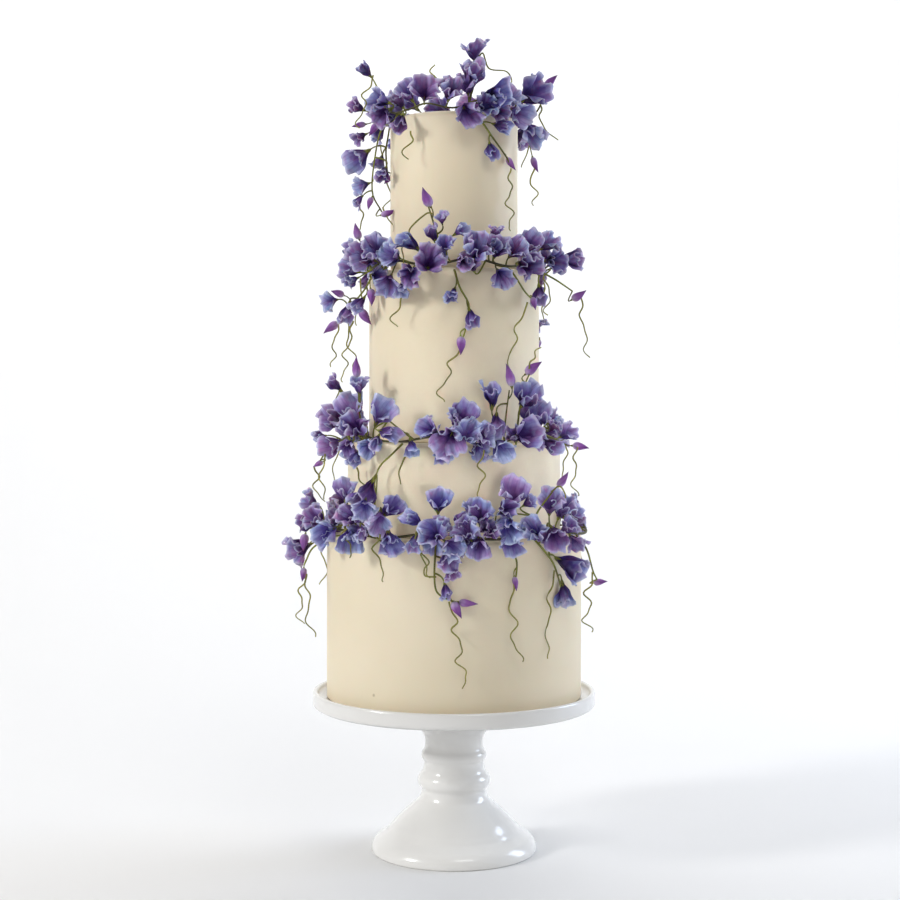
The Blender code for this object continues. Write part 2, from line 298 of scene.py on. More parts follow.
# The tendrils on the front: across, above the rim and out where each starts, its length, its drift to
# the right as it falls, and how far it curls at its end.
FRONT_TENDRILS = (
    (
        (-94, 45, 30, 62, -18, 0.2),
        (-84, -105, 12, 30, 6, 0.2),
        (101, 14, 30, 42, 18, 0.2),
        (66, -64, 10, 74, 0, 0.3),
        (95, -58, 22, 46, 2, 0.2),
        (-112, -100, 36, 30, -8, 0.2),
        (-50, -24, 14, 34, -6, 0.3),
    ),
    (
        (-60, -34, 16, 35, -8, 0.2),
        (-138, -60, 34, 52, -10, 0.2),
        (-128, -52, 30, 70, 8, 0.3),
        (-118, -58, 22, 74, -14, 0.3),
        (84, -39, 14, 90, -28, 0.3),
        (150, -28, 50, 74, 8, 0.2),
        (112, 14, 20, 68, -4, 0.3),
        (8, -90, 8, 66, -28, 0.4),
    ),
    (
        (143, -5, 30, 58, -2, 0.2),
        (33, -7, 18, 64, -4, 0.4),
        (-54, -13, 14, 34, -18, 0.5),
        (-150, -13, 34, 54, -2, 0.2),
        (-166, -30, 40, 42, 4, 0.3),
        (-112, -28, 12, 30, 16, 0.3),
    ),
    (
        (-6, -66, 8, 98, 12, 0.2),
        (66, -48, 8, 90, 8, 0.3),
        (113, -36, 8, 104, -12, 0.4),
        (160, -42, 22, 74, -10, 0.5),
        (-82, 8, 24, 56, 4, 0.6),
        (-42, 12, 22, 54, 12, 0.6),
        (-175, -46, 28, 62, -10, 0.4),
        (-172, -46, 28, 76, 4, 0.3),
        (-125, 30, 30, 50, 8, 0.0),
    ),
)

# Tendrils that stand up or reach sideways, as the points that each passes: across, above the rim, out.
FREE_TENDRILS = (
    (
        ((26, 57, 4), (33, 65, 4), (40, 48, 6), (60, 48, 6), (67, 40, 5), (64, 30, 6)),
        ((-22, 20, 10), (-20, 34, 6), (-28, 44, 4), (-22, 52, 0)),
    ),
    (
        ((-24, 58, 14), (-32, 58, 14), (-50, 42, 16), (-50, 29, 18), (-59, 21, 18), (-57, 7, 22), (-61, -13, 16)),
    ),
    (
        ((85, 84, 6), (86, 92, 6), (92, 97, 6), (92, 105, 6), (99, 109, 8)),
    ),
    (
        ((109, 53, 10), (119, 59, 14), (126, 48, 14), (123, 41, 12)),
        ((-20, -39, 8), (-32, -38, 8), (-33, -30, 8), (-28, -22, 8), (-40, -8, 12), (-43, 10, 16)),
    ),
)

# Smaller flowers set low between the ones above, where the front of each garland is thick:
# the millimetres across between which each thick stretch runs, and how many flowers fill it.
FILLED_STRETCHES = (
    ((0, 62, 2),),
    ((-112, -62, 3), (-34, 62, 3), (78, 118, 1)),
    ((-138, -84, 2), (-30, 52, 4), (62, 106, 2)),
    ((-156, -66, 4), (-34, 40, 5), (44, 124, 3)),
)

VINE_THICKNESS = (0.0011, 0.0014, 0.0014, 0.0015)

# How the flowers that the front doesn't show are spread, for each garland.
BACK_BLOOMS = (27, 31, 35, 39)
BACK_SEEDS = (11, 23, 37, 41)
BACK_START = 68
BACK_SPAN = 224
BACK_SIDE = 30
BACK_EASE = 26
BACK_SPRAYS = ((140, 250), (118, 205), (160, 236), (125, 186, 240))


def box_of(node):
    """The node's lowest and highest corners, as vectors."""
    low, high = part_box(node)
    return Vector(low), Vector(high)


class Signal:
    """The output of a node. Arithmetic on signals adds Math nodes."""

    def __init__(self, graph, socket):
        self.graph = graph
        self.socket = socket

    def math(self, operation, first, second):
        return self.graph.add("ShaderNodeMath", {"operation": operation}, {0: first, 1: second})

    def __add__(self, other):
        return self.math("ADD", self, other)

    __radd__ = __add__

    def __sub__(self, other):
        return self.math("SUBTRACT", self, other)

    def __rsub__(self, other):
        return self.math("SUBTRACT", other, self)

    def __mul__(self, other):
        return self.math("MULTIPLY", self, other)

    __rmul__ = __mul__

    def __truediv__(self, other):
        return self.math("DIVIDE", self, other)

    def __rtruediv__(self, other):
        return self.math("DIVIDE", other, self)

    def __pow__(self, other):
        return self.math("POWER", self, other)

    def sine(self):
        return self.math("SINE", self, 0.0)

    def clamped(self):
        return self.math("MINIMUM", self.math("MAXIMUM", self, 0.0), 1.0)

    def ramp_between(self, low, high):
        """0 below low, 1 above high, and smooth between."""
        settings = {"interpolation_type": "SMOOTHSTEP"}
        return self.graph.add("ShaderNodeMapRange", settings, {0: self, 1: low, 2: high, 3: 0.0, 4: 1.0})


class Graph:
    """Adds nodes to a tree, for materials and for Geometry Nodes alike."""

    def __init__(self, tree):
        self.tree = tree

    def add(self, kind, settings=None, inputs=None, output=0):
        node = self.tree.nodes.new(kind)
        for name, value in (settings or {}).items():
            if name == "stops":
                self.set_stops(node.color_ramp, value)
            else:
                setattr(node, name, value)
        for name, value in (inputs or {}).items():
            self.feed(node.inputs[name], value)
        return Signal(self, node.outputs[output])

    def feed(self, socket, value):
        if isinstance(value, Signal):
            self.tree.links.new(value.socket, socket)
        else:
            socket.default_value = value

    def set_stops(self, ramp, stops):
        while len(ramp.elements) > 1:
            ramp.elements.remove(ramp.elements[-1])
        for index, (place, colour) in enumerate(stops):
            element = ramp.elements[0] if index == 0 else ramp.elements.new(place)
            element.position = place
            element.color = colour

    def mix(self, share, first, second, blend="MIX"):
        """Mix two colours, each a signal or an (r, g, b, 1) value."""
        settings = {"data_type": "RGBA", "blend_type": blend}
        return self.add("ShaderNodeMix", settings, {0: share, 6: first, 7: second}, 2)


def colour(text):
    """A colour as written in a paint box, #rrggbb, turned into linear light."""
    values = [int(text[place:place + 2], 16) / 255 for place in (1, 3, 5)]
    linear = [value / 12.92 if value <= 0.04045 else ((value + 0.055) / 1.055) ** 2.4 for value in values]
    return (*linear, 1.0)


def new_material(name, constants):
    """A Principled material with its plain values set, and the graph to add the rest to."""
    material = bpy.data.materials.new(name)
    material.use_nodes = True
    shader = material.node_tree.nodes["Principled BSDF"]
    for socket, value in constants.items():
        shader.inputs[socket].default_value = value
    return material, Graph(material.node_tree), shader


def object_noise(graph, scale, detail=2.0, stretch=(1.0, 1.0, 1.0), roughness=0.5):
    """Noise laid out in the object's own space, from 0 to 1."""
    place = graph.add("ShaderNodeTexCoord", output="Object")
    stretched = graph.add("ShaderNodeVectorMath", {"operation": "MULTIPLY"}, {0: place, 1: stretch})
    inputs = {"Vector": stretched, "Scale": scale, "Detail": detail, "Roughness": roughness}
    return graph.add("ShaderNodeTexNoise", {"normalize": True}, inputs)


def fondant_finish():
    """Ivory sugar paste, matt and hand smoothed, with the faintest cloudiness and polish marks."""
    constants = {"Subsurface Weight": 0.12, "Subsurface Scale": 0.006, "Specular IOR Level": 0.4}
    material, graph, shader = new_material("fondant_finish", constants)
    clouds = object_noise(graph, 9.0, 3.0)
    warmth = object_noise(graph, 3.0, 1.0)
    grain = object_noise(graph, 900.0, 2.0)
    strokes = object_noise(graph, 26.0, 2.0, (1.0, 1.0, 0.35))
    pale = graph.mix(warmth.ramp_between(0.3, 0.7), colour("#e9ddc4"), colour("#e7d9bd"))
    shade = graph.mix(clouds.ramp_between(0.35, 0.75) * 0.35, pale, colour("#dfd3b4"))
    # Painted shade of the prick: a small dark spot that is darkest at its middle.
    place = graph.add("ShaderNodeTexCoord", output="Object")
    away = graph.add("ShaderNodeVectorMath", {"operation": "DISTANCE"}, {0: place, 1: PAINTED_PRICK_SHADE}, "Value")
    shade = graph.mix(0.5 - 0.5 * away.ramp_between(0.0006, 0.0026), shade, colour("#8f7f5e"))
    graph.feed(shader.inputs["Base Color"], shade)
    graph.feed(shader.inputs["Roughness"], 0.52 + 0.12 * clouds)
    height = strokes * 0.8 + grain * 0.05
    bump = graph.add("ShaderNodeBump", None, {"Strength": 0.12, "Distance": 0.0008, "Height": height})
    graph.feed(shader.inputs["Normal"], bump)
    return material


def glaze_finish():
    """White glaze on a turned stand: glossy, and thinner and greyer on the beads, with painted shade greying the
    stem under the plate and, more faintly, the plate itself.
    """
    constants = {"Coat Weight": 0.5, "Coat Roughness": 0.08, "Specular IOR Level": 0.5}
    material, graph, shader = new_material("glaze_finish", constants)
    clouds = object_noise(graph, 14.0, 3.0)
    pooling = graph.add("ShaderNodeNewGeometry", output="Pointiness")
    worn = pooling.ramp_between(0.50, 0.58)
    body = graph.mix(clouds.ramp_between(0.3, 0.8) * 0.5, colour("#efeeeb"), colour("#e9e8e5"))
    place = graph.add("ShaderNodeTexCoord", output="Object")
    height = graph.add("ShaderNodeSeparateXYZ", None, {"Vector": place}, "Z")
    # Painted shade: greyer from the upper stem to just under the plate, and more faintly over the plate.
    painted_neck_shade = height.ramp_between(0.115, 0.165) * (1.0 - height.ramp_between(0.1735, 0.1765) * 0.6)
    body = graph.mix(painted_neck_shade * 0.8, body, colour("#cfcecc"))
    graph.feed(shader.inputs["Base Color"], graph.mix(worn * 0.3, body, colour("#dfddda")))
    graph.feed(shader.inputs["Roughness"], 0.16 + 0.10 * clouds)
    ripple = object_noise(graph, 60.0, 2.0)
    bump = graph.add("ShaderNodeBump", None, {"Strength": 0.08, "Distance": 0.0006, "Height": ripple})
    graph.feed(shader.inputs["Normal"], bump)
    return material


def named_value(graph, name):
    """A number stored on the mesh."""
    settings = {"attribute_type": "GEOMETRY", "attribute_name": name}
    return graph.add("ShaderNodeAttribute", settings, output="Fac")


def petal_finish():
    """Dusted sugar petals: dark violet in the throat, slate to periwinkle further out, a pale edge. The dark
    throat is partly the petals' own colour and partly painted shade, and the pale edge partly dusting and partly
    painted highlight.
    """
    constants = {"Subsurface Weight": 0.10, "Subsurface Scale": 0.002, "Specular IOR Level": 0.35}
    material, graph, shader = new_material("petal_finish", constants)
    along = named_value(graph, "petal_v")
    across = named_value(graph, "petal_u")
    inside = named_value(graph, "petal_side")
    tint = named_value(graph, "tint")
    warmth = named_value(graph, "warmth")
    blotch = object_noise(graph, 60.0, 3.0)
    patch = object_noise(graph, 38.0, 2.0, (1.0, 1.3, 0.9))
    cloud = object_noise(graph, 72.0, 2.0, (1.2, 0.8, 1.0))
    dusting = object_noise(graph, 160.0, 3.0)
    # The dark throat end of these ramps, darkest on the inner faces, is partly the petals' colour and partly
    # painted shade; their pale outer end is partly painted highlight.
    place = (along ** 1.4 + (blotch - 0.5) * 0.9 + (tint - 0.66) * 0.50).clamped()
    inner = graph.add(
        "ShaderNodeValToRGB",
        {
            "stops": (
                (0.00, colour("#160b3a")),
                (0.26, colour("#2f1f6a")),
                (0.50, colour("#4a3990")),
                (0.72, colour("#6866ae")),
                (0.88, colour("#8d99c8")),
                (1.00, colour("#b6c2e2")),
            )
        },
        {"Fac": place},
    )
    outer = graph.add(
        "ShaderNodeValToRGB",
        {
            "stops": (
                (0.00, colour("#392a76")),
                (0.35, colour("#504296")),
                (0.62, colour("#6a6fac")),
                (0.86, colour("#8696c4")),
                (1.00, colour("#adbbdb")),
            )
        },
        {"Fac": place},
    )
    petal_tone = graph.mix(inside, outer, inner)
    lilac = ((warmth * 0.8 + patch.ramp_between(0.44, 0.62) * 0.65) * (1.25 - 0.75 * tint)).clamped()
    warm_tone = graph.mix(place, colour("#43105f"), colour("#ba8ac4"))
    petal_tone = graph.mix(lilac * 0.85, petal_tone, warm_tone)
    ribs = ((across * 10.0 + blotch * 7.0).sine() * 0.5 + 0.5) ** 1.5
    rib_share = ribs * along.ramp_between(0.45, 0.95) * (0.18 + 0.30 * tint)
    petal_tone = graph.mix(rib_share, petal_tone, colour("#abb8da"))
    slate = cloud.ramp_between(0.48, 0.64) * (0.20 + 0.60 * tint)
    petal_tone = graph.mix(slate * along.ramp_between(0.2, 0.8), petal_tone, colour("#8fa3cc"))
    spread = across * (20.0 + 12.0 * blotch)
    veins = (spread.sine() * 0.5 + 0.5) ** 5.0
    vein_share = veins * along.ramp_between(0.05, 0.5) * 0.18
    petal_tone = graph.mix(vein_share, petal_tone, colour("#33247a"))
    sides = graph.add("ShaderNodeMath", {"operation": "ABSOLUTE"}, {0: across})
    rim = graph.add("ShaderNodeMath", {"operation": "MAXIMUM"}, {0: along, 1: sides * (0.35 + 0.65 * along)})
    # The pale rim is partly dusting and partly painted highlight.
    edge = rim.ramp_between(0.86, 1.0) * (0.15 + 0.75 * dusting)
    petal_tone = graph.mix(edge * 0.90, petal_tone, colour("#d5dcec"))
    deepened = graph.add("ShaderNodeGamma", None, {"Color": petal_tone, "Gamma": 1.12})
    petal_tone = graph.add("ShaderNodeHueSaturation", None, {"Color": deepened, "Saturation": 0.97, "Value": 1.05})
    graph.feed(shader.inputs["Base Color"], petal_tone)
    graph.feed(shader.inputs["Roughness"], 0.50 + 0.25 * dusting)
    height = veins * 0.6 + dusting * 0.4
    bump = graph.add("ShaderNodeBump", None, {"Strength": 0.22, "Distance": 0.0004, "Height": height})
    graph.feed(shader.inputs["Normal"], bump)
    return material


def bud_finish():
    """Closed buds: magenta violet at the tip, paling to lilac and green where they leave the calyx."""
    constants = {"Subsurface Weight": 0.10, "Subsurface Scale": 0.002}
    material, graph, shader = new_material("bud_finish", constants)
    along = named_value(graph, "petal_v")
    across = named_value(graph, "petal_u")
    tint = named_value(graph, "tint")
    blotch = object_noise(graph, 120.0, 2.0)
    skin = graph.add(
        "ShaderNodeValToRGB",
        {
            "stops": (
                (0.00, colour("#c2bcc4")),
                (0.20, colour("#a98cc0")),
                (0.45, colour("#83459c")),
                (0.75, colour("#672682")),
                (1.00, colour("#45145a")),
            )
        },
        {"Fac": (along + (blotch - 0.5) * 0.3).clamped()},
    )
    skin = graph.mix(tint * 0.35, skin, colour("#b884c6"))
    fold = ((across * 18.0).sine() * 0.5 + 0.5) ** 4.0
    graph.feed(shader.inputs["Base Color"], graph.mix(fold * 0.3, skin, colour("#4a1c63")))
    graph.feed(shader.inputs["Roughness"], 0.42 + 0.2 * blotch)
    bump = graph.add("ShaderNodeBump", None, {"Strength": 0.2, "Distance": 0.0004, "Height": fold})
    graph.feed(shader.inputs["Normal"], bump)
    return material


def stem_finish(name, young, old, dark):
    """Wired stems in green florist's tape, with darker, browner lengths."""
    constants = {"Specular IOR Level": 0.4}
    material, graph, shader = new_material(name, constants)
    lengths = object_noise(graph, 32.0, 2.0)
    fibres = object_noise(graph, 420.0, 2.0)
    green = graph.mix(lengths.ramp_between(0.35, 0.65), colour(young), colour(old))
    green = graph.mix(fibres.ramp_between(0.45, 0.8) * 0.4, green, colour(dark))
    graph.feed(shader.inputs["Base Color"], green)
    graph.feed(shader.inputs["Roughness"], 0.45 + 0.25 * fibres)
    bump = graph.add("ShaderNodeBump", None, {"Strength": 0.3, "Distance": 0.0003, "Height": fibres})
    graph.feed(shader.inputs["Normal"], bump)
    return material


def backdrop_finish():
    material, graph, shader = new_material("backdrop_finish", {"Roughness": 0.9})
    speckle = object_noise(graph, 4.0, 2.0)
    graph.feed(shader.inputs["Base Color"], graph.mix(speckle * 0.1, colour("#e8e8e8"), colour("#e4e4e4")))
    return material


def mesh_object(name, vertices, faces, material=None, attributes=None):
    """An object at the origin from lists of points and faces, with numbers stored on its points."""
    mesh = bpy.data.meshes.new(name)
    mesh.from_pydata([tuple(point) for point in vertices], [], faces)
    for label, values in (attributes or {}).items():
        stored = mesh.attributes.new(label, "FLOAT", "POINT")
        stored.data.foreach_set("value", np.asarray(values, dtype=np.float32))
    mesh.shade_smooth()
    if material:
        mesh.materials.append(material)
    obj = bpy.data.objects.new(name, mesh)
    bpy.context.collection.objects.link(obj)
    return obj


def turned_object(name, profile, sides, material, shift=None):
    """A smooth turned solid from a (radius, height) profile, which starts and ends on the axis."""
    rings = profile[1:-1]
    vertices = [(0.0, 0.0, profile[0][1])]
    for radius, height in rings:
        for side in range(sides):
            turn = math.tau * side / sides
            point = Vector((radius * math.sin(turn), -radius * math.cos(turn), height))
            vertices.append(shift(point) if shift else point)
    vertices.append((0.0, 0.0, profile[-1][1]))
    last = len(vertices) - 1
    faces = []
    for side in range(sides):
        after = (side + 1) % sides
        faces.append((0, 1 + after, 1 + side))
        for ring in range(len(rings) - 1):
            low = 1 + ring * sides
            high = low + sides
            faces.append((low + side, low + after, high + after, high + side))
        top = 1 + (len(rings) - 1) * sides
        faces.append((last, top + side, top + after))
    return mesh_object(name, vertices, faces, material)


def rounded(points, steps):
    """A smooth curve through given points of any dimension (a Catmull-Rom spline)."""
    anchors = [np.array(point, dtype=float) for point in points]
    ends = [2 * anchors[0] - anchors[1]] + anchors + [2 * anchors[-1] - anchors[-2]]
    curve = []
    for before, start, end, after in zip(ends, ends[1:], ends[2:], ends[3:]):
        for step in range(steps):
            t = step / steps
            curve.append(
                0.5
                * (
                    2 * start
                    + (end - before) * t
                    + (2 * before - 5 * start + 4 * end - after) * t * t
                    + (3 * start - before - 3 * end + after) * t * t * t
                )
            )
    curve.append(anchors[-1])
    return curve


def tier_size(number):
    """(radius, bottom, top) of a tier, read from the frame."""
    low, high = box_of(f"tier_{number}")
    return (high.x - low.x) / 2, low.z, high.z


def arc_points(middle, radius, start, end, steps):
    """Points on a round corner of a profile, from one angle to another, in degrees."""
    points = []
    for step in range(steps + 1):
        turn = math.radians(start + (end - start) * step / steps)
        points.append((middle[0] + radius * math.cos(turn), middle[1] + radius * math.sin(turn)))
    return points


def build_tier(number, material):
    """One fondant-covered tier: a smoothed wall, a soft top edge and a slightly tucked-in foot."""
    radius, bottom, top = tier_size(number)
    edge = 0.0065
    foot = 0.003
    wall_rings = 26
    cap_rings = 14
    profile = [(0.0, bottom)]
    profile += [(radius * 0.5, bottom)]
    profile += arc_points((radius - foot, bottom + foot), foot, -90, 0, 4)
    span = top - edge - bottom - foot
    profile += [(radius, bottom + foot + span * step / wall_rings) for step in range(1, wall_rings)]
    profile += arc_points((radius - edge, top - edge), edge, 0, 90, 10)
    profile += [((radius - edge) * (1 - step / cap_rings), top) for step in range(1, cap_rings)]
    profile += [(0.0, top)]
    waves = random.Random(number)
    phases = [waves.uniform(0, math.tau) for _ in range(6)]
    smoothing_depth = 0.00028

    def hand_smoothed(point):
        """Press the paste in or out by a fraction of a millimetre, as hands and smoothers leave it."""
        turn = math.atan2(point.x, -point.y)
        wave = math.sin(2 * turn + phases[0] + 9 * point.z) + math.sin(5 * turn + phases[1] - 17 * point.z)
        wave += 0.7 * math.sin(9 * turn + phases[2] + 31 * point.z)
        wave += 0.5 * math.sin(14 * turn + phases[3] - 53 * point.z)
        reach = math.hypot(point.x, point.y)
        inward = smoothing_depth * (0.8 - wave / 4) * min(1.0, reach / (0.5 * radius))
        share = (reach - inward) / reach
        return Vector((point.x * share, point.y * share, point.z))

    piece = turned_object(f"fondant_tier_{number}", profile, 224, material, hand_smoothed)
    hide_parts(f"tier_{number}")
    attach(piece, "root")
    return piece


def build_stand(material):
    """The stand: a hand-turned foot, two beads, a waisted stem, a flaring neck and a lipped plate."""
    low, high = box_of("cake_stand")
    plate = (high.x - low.x) / 2
    top = high.z
    foot = 0.5875 * plate
    floor = top - 0.008
    underside = [(0.0, 0.003), (0.74 * foot, 0.003), (0.82 * foot, 0.0022), (0.84 * foot, 0.0)]
    turned = (
        (0.983 * foot, 0.0),
        (0.998 * foot, 0.0014),
        (foot, 0.0034),
        (0.997 * foot, 0.0064),
        (0.986 * foot, 0.0094),
        (0.964 * foot, 0.0128),
        (0.927 * foot, 0.0165),
        (0.874 * foot, 0.0200),
        (0.822 * foot, 0.0237),
        (0.787 * foot, 0.0274),
        (0.752 * foot, 0.0310),
        (0.689 * foot, 0.0383),
        (0.612 * foot, 0.0455),
        (0.533 * foot, 0.0528),
        (0.449 * foot, 0.0601),
        (0.417 * foot, 0.0637),
        (0.397 * foot, 0.0685),
        (0.390 * foot, 0.0724),
        (0.396 * foot, 0.0752),
        (0.430 * foot, 0.0802),
        (0.438 * foot, 0.0858),
        (0.422 * foot, 0.0906),
        (0.385 * foot, 0.0952),
        (0.371 * foot, 0.0992),
        (0.363 * foot, 0.1040),
        (0.368 * foot, 0.1080),
        (0.385 * foot, 0.1113),
        (0.394 * foot, 0.1150),
        (0.384 * foot, 0.1188),
        (0.358 * foot, 0.1228),
        (0.348 * foot, 0.1290),
        (0.362 * foot, 0.1375),
        (0.412 * foot, 0.1462),
        (0.525 * foot, 0.1562),
        (0.670 * foot, 0.1640),
        (1.080 * foot, 0.1685),
        (0.940 * plate, 0.1742),
        (0.974 * plate, 0.1752),
        (0.993 * plate, 0.1768),
        (plate, 0.1795),
        (plate, 0.1858),
    )
    outside = [(point[0], point[1]) for point in rounded(turned, 5)]
    lip = arc_points((plate - 0.0030, top - 0.0030), 0.0030, 0, 180, 8)
    inside = [(plate - 0.0066, top - 0.0052), (plate - 0.0082, floor + 0.0008), (plate - 0.0104, floor)]
    flat = [(0.5 * plate, floor), (0.0, floor)]
    piece = turned_object("glazed_stand", underside + outside + lip + inside + flat, 160, material)
    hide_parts("cake_stand")
    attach(piece, "root")
    return piece


# The petals of each form of flower. Lengths are shares of the flower's own length. Every petal is a
# sheet that widens from its claw, is curled across by `curl`, leans back from the stem's line by `lean`,
# rolls back at its edge by `roll`, and is ruffled by `frill`. `turn` places it round the stem, and
# `drop` is how far its corners fall below its tip.
def petal(turn, length, width, curl, lean, roll, frill, drop, grid):
    return {
        "turn": turn,
        "length": length,
        "width": width,
        "curl": curl,
        "lean": lean,
        "roll": roll,
        "frill": frill,
        "drop": drop,
        "grid": grid,
    }


BIG_GRID = (20, 10)
MIDDLE_GRID = (15, 7)
BLOOM_FORMS = {
    "cup": (
        petal(0, 1.00, 0.46, 1.35, 0.16, 0.22, 0.13, 0.28, BIG_GRID),
        petal(130, 0.82, 0.42, 1.25, 0.20, 0.22, 0.12, 0.22, MIDDLE_GRID),
        petal(-116, 0.90, 0.42, 1.15, 0.22, 0.24, 0.12, 0.22, MIDDLE_GRID),
    ),
    "fan": (
        petal(0, 1.00, 0.50, 0.75, 0.20, 0.20, 0.11, 0.22, BIG_GRID),
        petal(128, 0.72, 0.36, 1.25, 0.24, 0.22, 0.10, 0.20, MIDDLE_GRID),
        petal(-92, 0.66, 0.30, 1.00, 0.30, 0.22, 0.10, 0.22, MIDDLE_GRID),
    ),
    "hanging": (
        petal(0, 1.00, 0.44, 1.40, 0.08, 0.24, 0.10, 0.16, BIG_GRID),
        petal(165, 0.86, 0.38, 1.20, 0.12, 0.24, 0.10, 0.18, MIDDLE_GRID),
    ),
    "open": (
        petal(0, 1.00, 0.50, 0.80, 0.34, 0.24, 0.13, 0.24, BIG_GRID),
        petal(104, 0.84, 0.42, 0.95, 0.36, 0.24, 0.12, 0.22, MIDDLE_GRID),
        petal(-112, 0.88, 0.42, 0.95, 0.36, 0.24, 0.12, 0.22, MIDDLE_GRID),
    ),
    "ruffled": (
        petal(0, 1.00, 0.49, 0.90, 0.38, 0.20, 0.16, 0.20, BIG_GRID),
        petal(76, 0.90, 0.44, 1.00, 0.38, 0.20, 0.15, 0.20, MIDDLE_GRID),
        petal(-92, 0.90, 0.44, 1.00, 0.36, 0.20, 0.15, 0.20, MIDDLE_GRID),
        petal(170, 0.76, 0.40, 1.20, 0.24, 0.20, 0.14, 0.20, MIDDLE_GRID),
    ),
    "trumpet": (
        petal(0, 1.00, 0.50, 1.70, 0.06, 0.30, 0.11, 0.04, BIG_GRID),
        petal(168, 0.90, 0.36, 1.20, 0.08, 0.28, 0.11, 0.10, MIDDLE_GRID),
    ),
}
VARIANTS_PER_FORM = 4
PETAL_THICKNESS = 0.014


def ruffles(u, v, fine, luck):
    """Soft, uneven waves that grow towards a petal's edge: long ones first, then shorter ones."""
    cycles = [luck.uniform(0.8, 1.2), luck.uniform(1.6, 2.3), luck.uniform(2.8, 3.8)]
    phases = [luck.uniform(0, math.tau) for _ in range(5)]
    slant = [luck.uniform(-1.8, 1.8) for _ in range(3)]
    wave = 1.05 * v ** 1.5 * np.sin(math.pi * cycles[0] * u + phases[0] + slant[0] * v)
    wave += 1.00 * v ** 2.4 * np.sin(math.pi * cycles[1] * u + phases[1] + slant[1] * v)
    wave += fine * v ** 4.5 * np.sin(math.pi * cycles[2] * u + phases[2] + slant[2] * v)
    sides = np.abs(u) ** 2.5 * np.sin(math.pi * v * luck.uniform(2.0, 3.2) + phases[3] + 1.5 * np.sign(u))
    return wave + 0.6 * sides * np.minimum(1, 2 * v)


def sheet_normals(points):
    normal = np.cross(np.gradient(points, axis=1), np.gradient(points, axis=0))
    return normal / np.maximum(np.linalg.norm(normal, axis=-1, keepdims=True), 1e-9)


def petal_sheet(shape, luck):
    """One closed petal: points, faces, and how far along, across and inside each point lies."""
    columns, rows = shape["grid"]
    u, v = np.meshgrid(np.linspace(-1, 1, columns + 1), np.linspace(0, 1, rows + 1) ** 0.85)
    claw = 0.10
    bend = shape["curl"] * luck.uniform(0.85, 1.15) * (1 - 0.35 * v)
    lean = shape["lean"] * luck.uniform(0.8, 1.2)
    roll = shape["roll"] * luck.uniform(0.6, 1.4)
    frill = shape["frill"] * luck.uniform(0.75, 1.2)
    drop = shape["drop"] * luck.uniform(0.6, 1.3)
    skew = luck.uniform(-0.22, 0.22)
    width = shape["width"] * (claw + (1 - claw) * np.sin(np.minimum(1, v * 1.12) * math.pi / 2) ** 1.2)
    radius = width / bend
    x = radius * np.sin(bend * u)
    y = radius * (1 - np.cos(bend * u)) - lean * v - roll * v ** 3
    tip = 1 - drop * np.abs(u - 0.3 * skew) ** 2.6 * v
    notch = 0.06 * np.exp(-((u - skew) / 0.15) ** 2) * v ** 5
    corner = luck.choice((-0.8, -0.5, 0.5, 0.8))
    peak = luck.uniform(0.02, 0.13) * np.exp(-((u - corner) / 0.22) ** 2) * v ** 4
    z = v * tip - notch + peak - 0.3 * roll * v ** 4
    crease = 0.08 * np.exp(-((u - skew) / 0.22) ** 2) * np.sin(math.pi * v)
    pleats = luck.uniform(0.015, 0.040) * np.sin(math.pi * luck.uniform(2.2, 3.4) * u + luck.uniform(0, math.tau))
    points = np.stack([x + skew * 0.5 * v * v, y - crease + pleats * v, z], axis=-1)
    fine = 0.35 * shape["length"] ** 2
    points += sheet_normals(points) * (frill * ruffles(u, v, fine, luck))[..., None]
    points *= shape["length"]
    turn = math.radians(shape["turn"] + luck.uniform(-14, 14)) + luck.uniform(-0.35, 0.35) * v
    across, deep = points[..., 0].copy(), points[..., 1].copy()
    points[..., 0] = np.cos(turn) * across - np.sin(turn) * deep
    points[..., 1] = np.sin(turn) * across + np.cos(turn) * deep
    half = sheet_normals(points) * PETAL_THICKNESS * (0.6 - 0.35 * v[..., None])
    count = points.shape[0] * points.shape[1]
    vertices = np.concatenate([(points + half).reshape(-1, 3), (points - half).reshape(-1, 3)])
    faces = sheet_faces(rows, columns, count)
    values = {
        "petal_v": np.tile(v.reshape(-1), 2),
        "petal_u": np.tile(u.reshape(-1), 2),
        "petal_side": np.concatenate([np.ones(count), np.zeros(count)]),
    }
    return vertices, faces, values


def sheet_faces(rows, columns, count):
    """The faces of a thick sheet: its front, its back, and the strips that join them round the edge."""
    wide = columns + 1
    faces = []
    for row in range(rows):
        for column in range(columns):
            corner = row * wide + column
            quad = (corner, corner + wide, corner + wide + 1, corner + 1)
            faces.append(quad)
            faces.append(tuple(index + count for index in reversed(quad)))
    bottom = [column for column in range(wide)]
    right = [row * wide + columns for row in range(rows + 1)]
    top = [rows * wide + column for column in reversed(range(wide))]
    left = [row * wide for row in reversed(range(rows + 1))]
    loop = bottom + right[1:] + top[1:] + left[1:]
    for first, second in zip(loop, loop[1:]):
        faces.append((first, second, second + count, first + count))
    return faces


def joined(parts):
    """Join (points, faces, values) parts into one."""
    vertices = []
    faces = []
    values = {}
    start = 0
    for points, polygons, stored in parts:
        vertices.append(points)
        faces += [tuple(index + start for index in polygon) for polygon in polygons]
        for label, numbers in stored.items():
            values.setdefault(label, []).append(numbers)
        start += len(points)
    return np.concatenate(vertices), faces, {label: np.concatenate(found) for label, found in values.items()}


